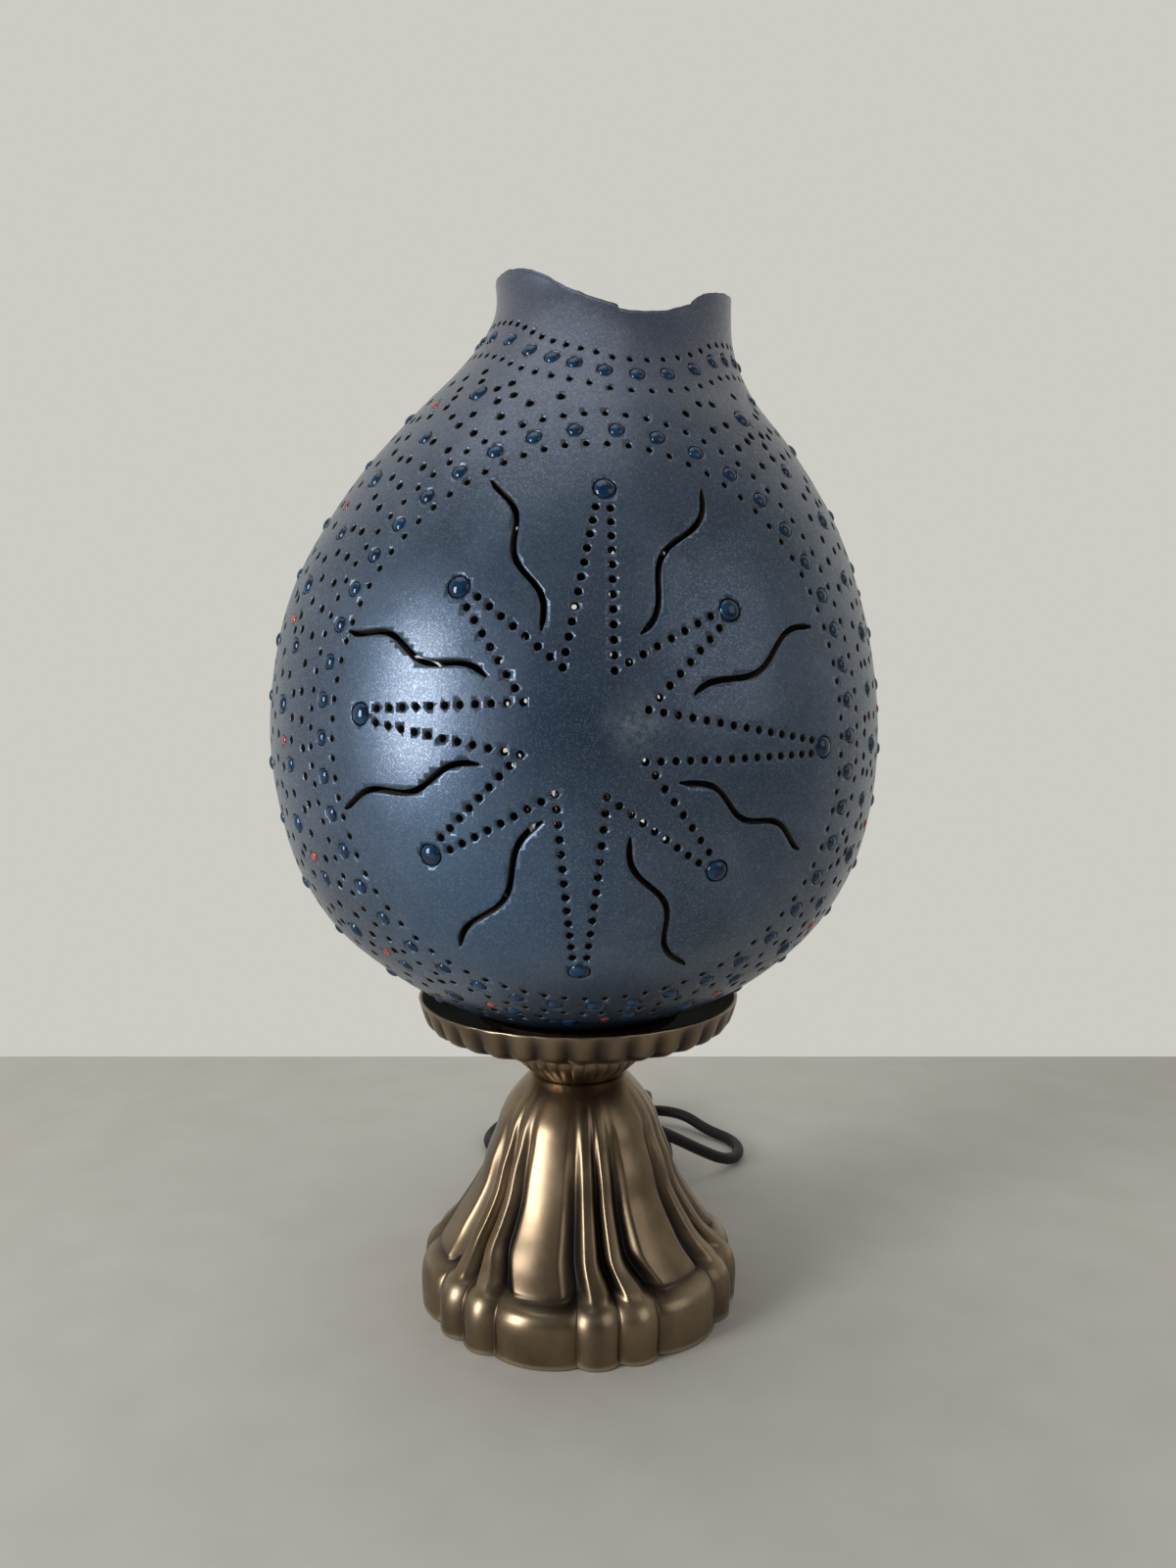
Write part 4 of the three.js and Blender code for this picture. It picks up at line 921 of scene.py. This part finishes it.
def bell_row(h, azimuth):
    """One ring of the bell, how dark it is round it from patina and painted shade, and how bright
    from rubbed wear and painted highlight.
    """
    degrees = np.degrees(azimuth) % BELL_REPEAT
    up = float(rise(h, 19.2, 23.2))
    wide = rise(degrees, 29, 34) * rise(-degrees, -61, -56)
    radius = smooth(BELL_RIDGES, h) * (1 - wide) + smooth(BELL_PANELS, h) * wide
    full = band_fullness(degrees) * (1 - up) + body_fullness(degrees) * up
    depth = max(0.0, float(smooth(BELL_DEPTHS, h)))
    crown = 0.9 * up * depth / 5 * (2 * across_lobe(degrees) - 1) ** 2
    turn = np.radians(smooth(BELL_SHIFT, degrees)) * float(rise(h, 20, 34))
    row = around(radius - depth * (1 - full) - crown, azimuth + turn, BELL_BOTTOM + h)
    # Patina in the grooves with painted shade in them, and painted shade along the crease where the
    # wide panels meet the band
    dark = (1 - full) ** 1.6 * min(1.0, depth / 4) * (0.45 + 0.55 * up)
    crease_shade = 0.6 * math.exp(-((h - 21.6) / 1.6) ** 2) * wide
    lip, shoulder = math.exp(-((h + 0.6) / 0.8) ** 2), math.exp(-((h - 17.6) / 1.6) ** 2)
    # Brighter on the bottom lip and on the block tops at the shoulder: partly rubbed wear, partly
    # painted highlight
    wear_and_highlight = 0.8 * lip + 0.35 * full ** 3 * shoulder
    return row, np.clip(dark + crease_shade, 0, 1), np.clip(wear_and_highlight + np.zeros_like(degrees), 0, 1)


def add_bell():
    """The bell with its hollow and the hole for the cord."""
    columns = 720
    azimuth = ring_azimuths(columns)
    heights = np.concatenate([
        [-1.2, -0.8, -0.2, 0.4, 1, 1.6, 2.2], np.linspace(3, 14, 9), np.linspace(14.8, 24, 34),
        np.linspace(25, 76, 46), np.linspace(77, 90.5, 16)])
    outer = [bell_row(h, azimuth) for h in heights]
    inner = [around(r, azimuth, BELL_BOTTOM + z) for r, z in BELL_INSIDE]
    plain = [np.zeros(columns)] * len(inner)
    rows, dark, wear_and_highlight = ([ring[i] for ring in outer] for i in range(3))
    made = turned("bell", rows + inner, dark + plain, wear_and_highlight + plain, [BRASS])
    azimuth = math.radians(LEAD_AZIMUTH)
    way = np.array([math.sin(azimuth), -math.cos(azimuth), 0])
    place = way * 45 + np.array([0, 0, LEAD_HEIGHT])
    cut(made, cutter([(place, way, LEAD_HOLE)], 32, -20, 12))
    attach(made, "stand")
    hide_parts("base_bell")


def scallop(azimuth, count, power):
    """Rounded lobes between sharp cusps: 0 in a cusp, 1 on a crest."""
    return np.abs(np.cos(count * azimuth / 2)) ** power


# Radius, height, and how much of the lobes' depth is there, for the cup and the dish
CUP_LINE = [
    (19.0, 0, 0), (19.3, 0.4, 0), (19.9, 1.2, 0.05), (21.2, 2.4, 0.5), (22.9, 4, 1),
    (24.6, 5.6, 1), (26, 7.4, 1), (27.0, 9.4, 1), (27.4, 11.2, 0.7), (27.5, 12.0, 0.2),
    (27.3, 12.2, 0), (25.3, 12.2, 0), (24.8, 9, 0), (18.8, 3.4, 0), (16.3, 2.2, 0),
    (ROD_HOLE, 2.2, 0), (ROD_HOLE, 0, 0),
]
CUP_LOBES = 32
CUP_DEPTH = 0.8
DISH_OUTSIDE = [
    (ROD_HOLE, 0, 0), (27.5, 0, 0), (36, 2.2, 0), (45, 4.4, 0), (50, 6, 0.1), (54, 7.1, 0.45),
    (56.6, 7.9, 0.9), (58.6, 8.6, 1), (60.8, 10, 1), (62.3, 12, 1), (63.5, 15, 0.95),
    (64.3, 17.6, 0.75), (64.8, 19.3, 0.4), (64.95, 20.1, 0.15), (64.8, 20.5, 0), (64.5, 20.6, 0),
]
DISH_INSIDE = [
    (63.9, 20.6, 0), (63.6, 20.3, 0), (61.1, 16.5, 0), (57.6, 11.6, 0), (51, 8.6, 0),
    (30, 2.5, 0), (ROD_HOLE, 2.5, 0),
]
DISH_LOBES = 34
DISH_TURN = 2
DISH_DEPTH = 1.8


def add_cup():
    columns = 512
    azimuth = ring_azimuths(columns)
    full = scallop(azimuth, CUP_LOBES, 0.7)
    rows, shade = [], []
    for r, h, d in CUP_LINE:
        rows.append(around(r - CUP_DEPTH * d * (1 - full), azimuth, CUP_BOTTOM + h))
        # Patina and painted shade in the flutes' valleys, and painted shade at the base where the
        # cup sits on the bell
        shade.append(np.clip(0.4 * (1 - full) * d + (0.2 if h < 0.3 else 0), 0, 1))
    made = turned("cup", rows, shade, [np.zeros(columns)] * len(rows), [BRASS])
    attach(made, "stand")
    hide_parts("neck_cup")


def add_dish():
    """The lobed dish, brass outside with painted shade in its valleys and on its underside, and
    black inside, partly dark oxide and partly painted shade.
    """
    columns = 680
    azimuth = ring_azimuths(columns)
    shifted = azimuth - math.radians(DISH_TURN)
    full = scallop(shifted, DISH_LOBES, 0.85)
    valley = (1 - np.cos(DISH_LOBES * shifted)) / 2
    rows, shade, wear_and_highlight = [], [], []
    for r, h, d in DISH_OUTSIDE + DISH_INSIDE:
        lift = 0.7 * (1 - full) * (1 if 7 < h < 11 and d > 0.3 else 0)
        rows.append(around(r - DISH_DEPTH * d * (1 - full), azimuth, DISH_BOTTOM + h + lift))
        # Painted shade: broad across each valley between the lobes, and flat on the underside
        shade.append(np.clip(0.85 * valley * d + (0.5 if d == 0 and h < 7 else 0), 0, 1))
        # The top of the rim brighter: partly rubbed wear, partly painted highlight
        wear_and_highlight.append(np.full(columns, 0.6 if h > 20.4 else 0.0))
    made = turned("dish_body", rows, shade, wear_and_highlight, [DISH_BRASS, DISH_OXIDE_AND_SHADE])
    first = (len(DISH_OUTSIDE) + 1) * columns
    kinds = [1 if min(p.vertices) >= first else 0 for p in made.data.polygons]
    made.data.polygons.foreach_set("material_index", kinds)
    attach(made, "stand")
    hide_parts("dish")


# Pieces that keep their CAD shape

LOOKS = [
    (FELT, "felt_pad"),
    (STEEL, "base_plate lower_washer lower_nut threaded_rod top_nut rocker_pin"),
    (STEEL, "switch_screw_1 switch_screw_2"),
    (SHADED_BRASS, "shade_seat"),
    (BAKELITE, "holder_cap holder_sleeve"),
    (CERAMIC, "holder_insert"),
    (BRIGHT_BRASS, "thread_shell"),
    (COPPER, "centre_contact side_contact wire_live"),
    (CORD_BLACK, "wire_neutral inner_lead"),
    (ALUMINIUM, "bulb_tip bulb_cap"),
    (BLACK_GLASS, "bulb_insulator"),
    (CLEAR_GLASS, "bulb_globe bulb_stem"),
    (FILAMENT, "bulb_filament"),
    (RUBBER, "cord_gland"),
    (MOULDED, "switch_lower switch_upper plug_body"),
    (GLOSS_BLACK, "switch_rocker"),
    (NICKEL, "plug_pin_1 plug_pin_2"),
]
# Nodes with few facets on their round forms, and the angles from which edges are sharp
ROUND_NODES = {
    "bulb_globe", "bulb_stem", "bulb_cap", "holder_cap", "holder_sleeve", "plug_body", "cord_gland",
}
ROUND_ANGLE = 60
SHARP_ANGLE = 34


def dress_nodes():
    for name, look in [(name, look) for look, names in LOOKS for name in names.split()]:
        mesh = NODES[name].data
        mesh.materials.clear()
        mesh.materials.append(look)
        mesh.polygons.foreach_set("use_smooth", [True] * len(mesh.polygons))
        angle = ROUND_ANGLE if name in ROUND_NODES else SHARP_ANGLE
        mesh.set_sharp_from_angle(angle=math.radians(angle))


# Cord


def route(start, heading, legs, heights):
    """The same flat route of runs and turns as in the CAD source, in mm."""
    x, y, angle, gone = start[0], start[1], math.radians(heading), 0.0
    points = [(x, y, float(smooth(heights, 0)))]
    for kind, amount, radius in legs:
        turn = math.radians(amount) if kind == "turn" else 0.0
        length = abs(turn) * radius if turn else amount
        steps = max(1, math.ceil(length / 5))
        part = turn / steps
        chord = 2 * radius * math.sin(abs(part) / 2) if turn else length / steps
        for _ in range(steps):
            angle += part / 2
            x += chord * math.cos(angle)
            y += chord * math.sin(angle)
            angle += part / 2
            gone += length / steps
            points.append((x, y, float(smooth(heights, gone))))
    return points


# The cord, the switch, the coil and the plug, in mm, as in the CAD source
CABLE = 5.8
SWITCH_AXIS = 8.5
TABLE = CABLE / 2
LEAD_START = 51.2
SWITCH_LENGTH = 48
COIL_X, COIL_Y = 1, 113
COIL_RADIUS = 43.8
COIL_PITCH = 6.25
COIL_LOOPS = 6.5
LAYING_GAP = 0.3
BEND_RADIUS = 27
TAIL_TURN = 155
PLUG_THICKNESS = 13.7


def lead_points():
    """From the gland down to the table and round into the switch."""
    azimuth = math.radians(LEAD_AZIMUTH)
    start = (LEAD_START * math.sin(azimuth), -LEAD_START * math.cos(azimuth))
    d = 18.8
    legs = [("run", d + 3, 0), ("turn", -43, 32), ("run", 43, 0), ("turn", 30, 34),
            ("turn", 72, 24.5), ("run", 20, 0), ("turn", 46, 28), ("run", 9, 0)]
    heights = [
        (0, LEAD_HEIGHT), (d, LEAD_HEIGHT), (d + 10, 40.7), (d + 20, 37), (d + 30, 31.8),
        (d + 43, 24.4), (d + 60, 14.2), (d + 70, 8.6), (d + 76, 5.9), (d + 83, 3.8),
        (d + 91, TABLE), (d + 100, TABLE), (d + 116, TABLE), (d + 130, TABLE + 1),
        (d + 146, SWITCH_AXIS - 1.2), (d + 160, SWITCH_AXIS), (d + 230, SWITCH_AXIS),
    ]
    return route(start, 75, legs, heights)


def link_points(lead_end):
    r, coil_x, coil_y = BEND_RADIUS, COIL_X - COIL_RADIUS, COIL_Y + CABLE + LAYING_GAP
    swing, back = math.radians(120), math.radians(30)
    start = (lead_end[0] - SWITCH_LENGTH, lead_end[1])
    across = r * (math.sin(swing) - (1 - math.cos(back)))
    down = r * (1 - math.cos(swing) + math.sin(back))
    legs = [("run", start[0] - across - coil_x, 0), ("turn", 120, r), ("turn", -30, r),
            ("run", start[1] - down - coil_y, 0)]
    heights = [(0, SWITCH_AXIS), (8, SWITCH_AXIS - 0.1), (21, SWITCH_AXIS - 1.6),
               (34, TABLE + 1.5), (47, TABLE), (56, TABLE), (208, TABLE)]
    return route(start, 180, legs, heights)


def coil_points():
    """Two flat layers in one winding: inwards on the table, then outwards on top."""
    loops, steps = COIL_LOOPS, 24
    count = round(loops * steps)
    points = []
    for i in range(count + 1):
        turn = i / count * loops
        r = COIL_RADIUS - COIL_PITCH * min(turn, loops - turn)
        t = min(1.0, max(0.0, (turn - 3.0) / 0.5))
        a = math.pi + 2 * math.pi * turn
        z = TABLE + COIL_PITCH * t * t * (3 - 2 * t)
        points.append((COIL_X + r * math.cos(a), COIL_Y + r * math.sin(a), z))
    first, last = points[0], points[-1]
    return [(first[0], first[1] + CABLE, first[2]), *points, (last[0], last[1] + CABLE, last[2])]


def tail_points(coil_end):
    """From the coil up to the plug that lies on it."""
    bend = math.radians(TAIL_TURN) * BEND_RADIUS
    top = 2 * TABLE + COIL_PITCH + LAYING_GAP + PLUG_THICKNESS / 2
    climb = [(0, 0), (0.19, 0.144), (0.38, 0.522), (0.58, 0.8), (0.77, 0.96), (1, 1), (1.3, 1)]
    heights = [(part * bend, coil_end[2] + up * (top - coil_end[2])) for part, up in climb]
    legs = [("run", 4, 0), ("turn", TAIL_TURN, BEND_RADIUS), ("run", 3, 0)]
    return route((coil_end[0], coil_end[1] + LAYING_GAP), 90, legs, heights)


def resample(points, step):
    """Points at even steps along a smooth line through the given ones."""
    line = np.array(points, dtype=float)
    run = np.concatenate([[0], np.cumsum(np.linalg.norm(np.diff(line, axis=0), axis=1))])
    count = max(2, int(round(run[-1] / step)))
    at = np.linspace(0, run[-1], count + 1)
    knots = [np.column_stack([run, line[:, axis]]) for axis in range(3)]
    return np.stack([smooth(knot, at) for knot in knots], -1)


def join_lines(*lines):
    """One line from several, without doubled points."""
    joined = []
    for line in lines:
        for p in line:
            if not joined or np.linalg.norm(np.array(p) - np.array(joined[-1])) > 0.5:
                joined.append(p)
    return joined


def add_cord():
    """The whole cord as one line, from its gland to the plug."""
    lead = lead_points()
    link = link_points(lead[-1])
    coiled = coil_points()
    line = resample(join_lines(lead, link, coiled, tail_points(coiled[-1])), 2.5) * MM
    data = bpy.data.curves.new("cord", "CURVE")
    data.dimensions = "3D"
    data.bevel_depth = CABLE / 2 * MM
    data.bevel_resolution = 5
    data.use_fill_caps = True
    spline = data.splines.new("POLY")
    spline.points.add(len(line) - 1)
    spline.points.foreach_set("co", np.column_stack([line, np.ones(len(line))]).ravel())
    spline.use_smooth = True
    data.materials.append(CORD_BLACK)
    made = bpy.data.objects.new("cord", data)
    scene.collection.objects.link(made)
    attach(made, "stand")
    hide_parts("cord_lead", "cord_link", "cord_coil", "cord_tail")
    return made, line


# Room


def add_floor():
    """A plain pale table top, a little under the foot."""
    shader = Shader("floor_grey")
    grain = shader.noise(30, 3, 0.5)
    shader.set(Base_Color=shader.ramp(grain, [
        (0.3, (0.57, 0.55, 0.51)), (0.7, (0.61, 0.59, 0.55))]))
    shader.set(Roughness=0.7)
    corners = [(-0.7, -0.6, 0), (0.7, -0.6, 0), (0.7, 0.3, 0), (-0.7, 0.3, 0)]
    made = mesh_object("floor", corners, [(0, 1, 2, 3)], [shader.material], rounded=False)
    made.location.z = -0.0002


LIT_PLACE = Vector((0, 0, 0.2))


def add_lamp(name, place, energy, width, height):
    """An area lamp, in watts and metres, turned towards the gourd."""
    data = bpy.data.lights.new(name, "AREA")
    data.shape = "RECTANGLE"
    data.size, data.size_y = width, height
    data.energy = energy
    made = bpy.data.objects.new(name, data)
    made.location = place
    made.rotation_euler = (LIT_PLACE - Vector(place)).to_track_quat("-Z", "Y").to_euler()
    scene.collection.objects.link(made)


def add_room_light():
    """A pale room: dimmer towards the front, brighter behind the lamp."""
    world = bpy.data.worlds.new("room")
    world.use_nodes = True
    nodes, links = world.node_tree.nodes, world.node_tree.links
    background = nodes["Background"]
    background.inputs["Color"].default_value = (0.80, 0.785, 0.73, 1)
    split = nodes.new("ShaderNodeSeparateXYZ")
    links.new(nodes.new("ShaderNodeTexCoord").outputs["Generated"], split.inputs[0])
    level = nodes.new("ShaderNodeMapRange")
    level.interpolation_type = "SMOOTHSTEP"
    links.new(split.outputs["Y"], level.inputs["Value"])
    for name, value in (("From Min", -0.6), ("From Max", 0.8), ("To Min", 0.22), ("To Max", 0.76)):
        level.inputs[name].default_value = value
    links.new(level.outputs["Result"], background.inputs["Strength"])
    scene.world = world


def add_light():
    add_room_light()
    add_lamp("window", (-1.35, -0.95, 0.42), energy=24, width=0.55, height=1.0)
    add_lamp("fill", (1.4, -1.0, 0.9), energy=4, width=1.2, height=1.2)
    add_lamp("top", (-0.3, -0.1, 1.8), energy=4.5, width=1.2, height=1.2)


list(add_cord())
dress_nodes()
add_bell()
add_cup()
add_dish()
add_gourd()
add_floor()
add_light()
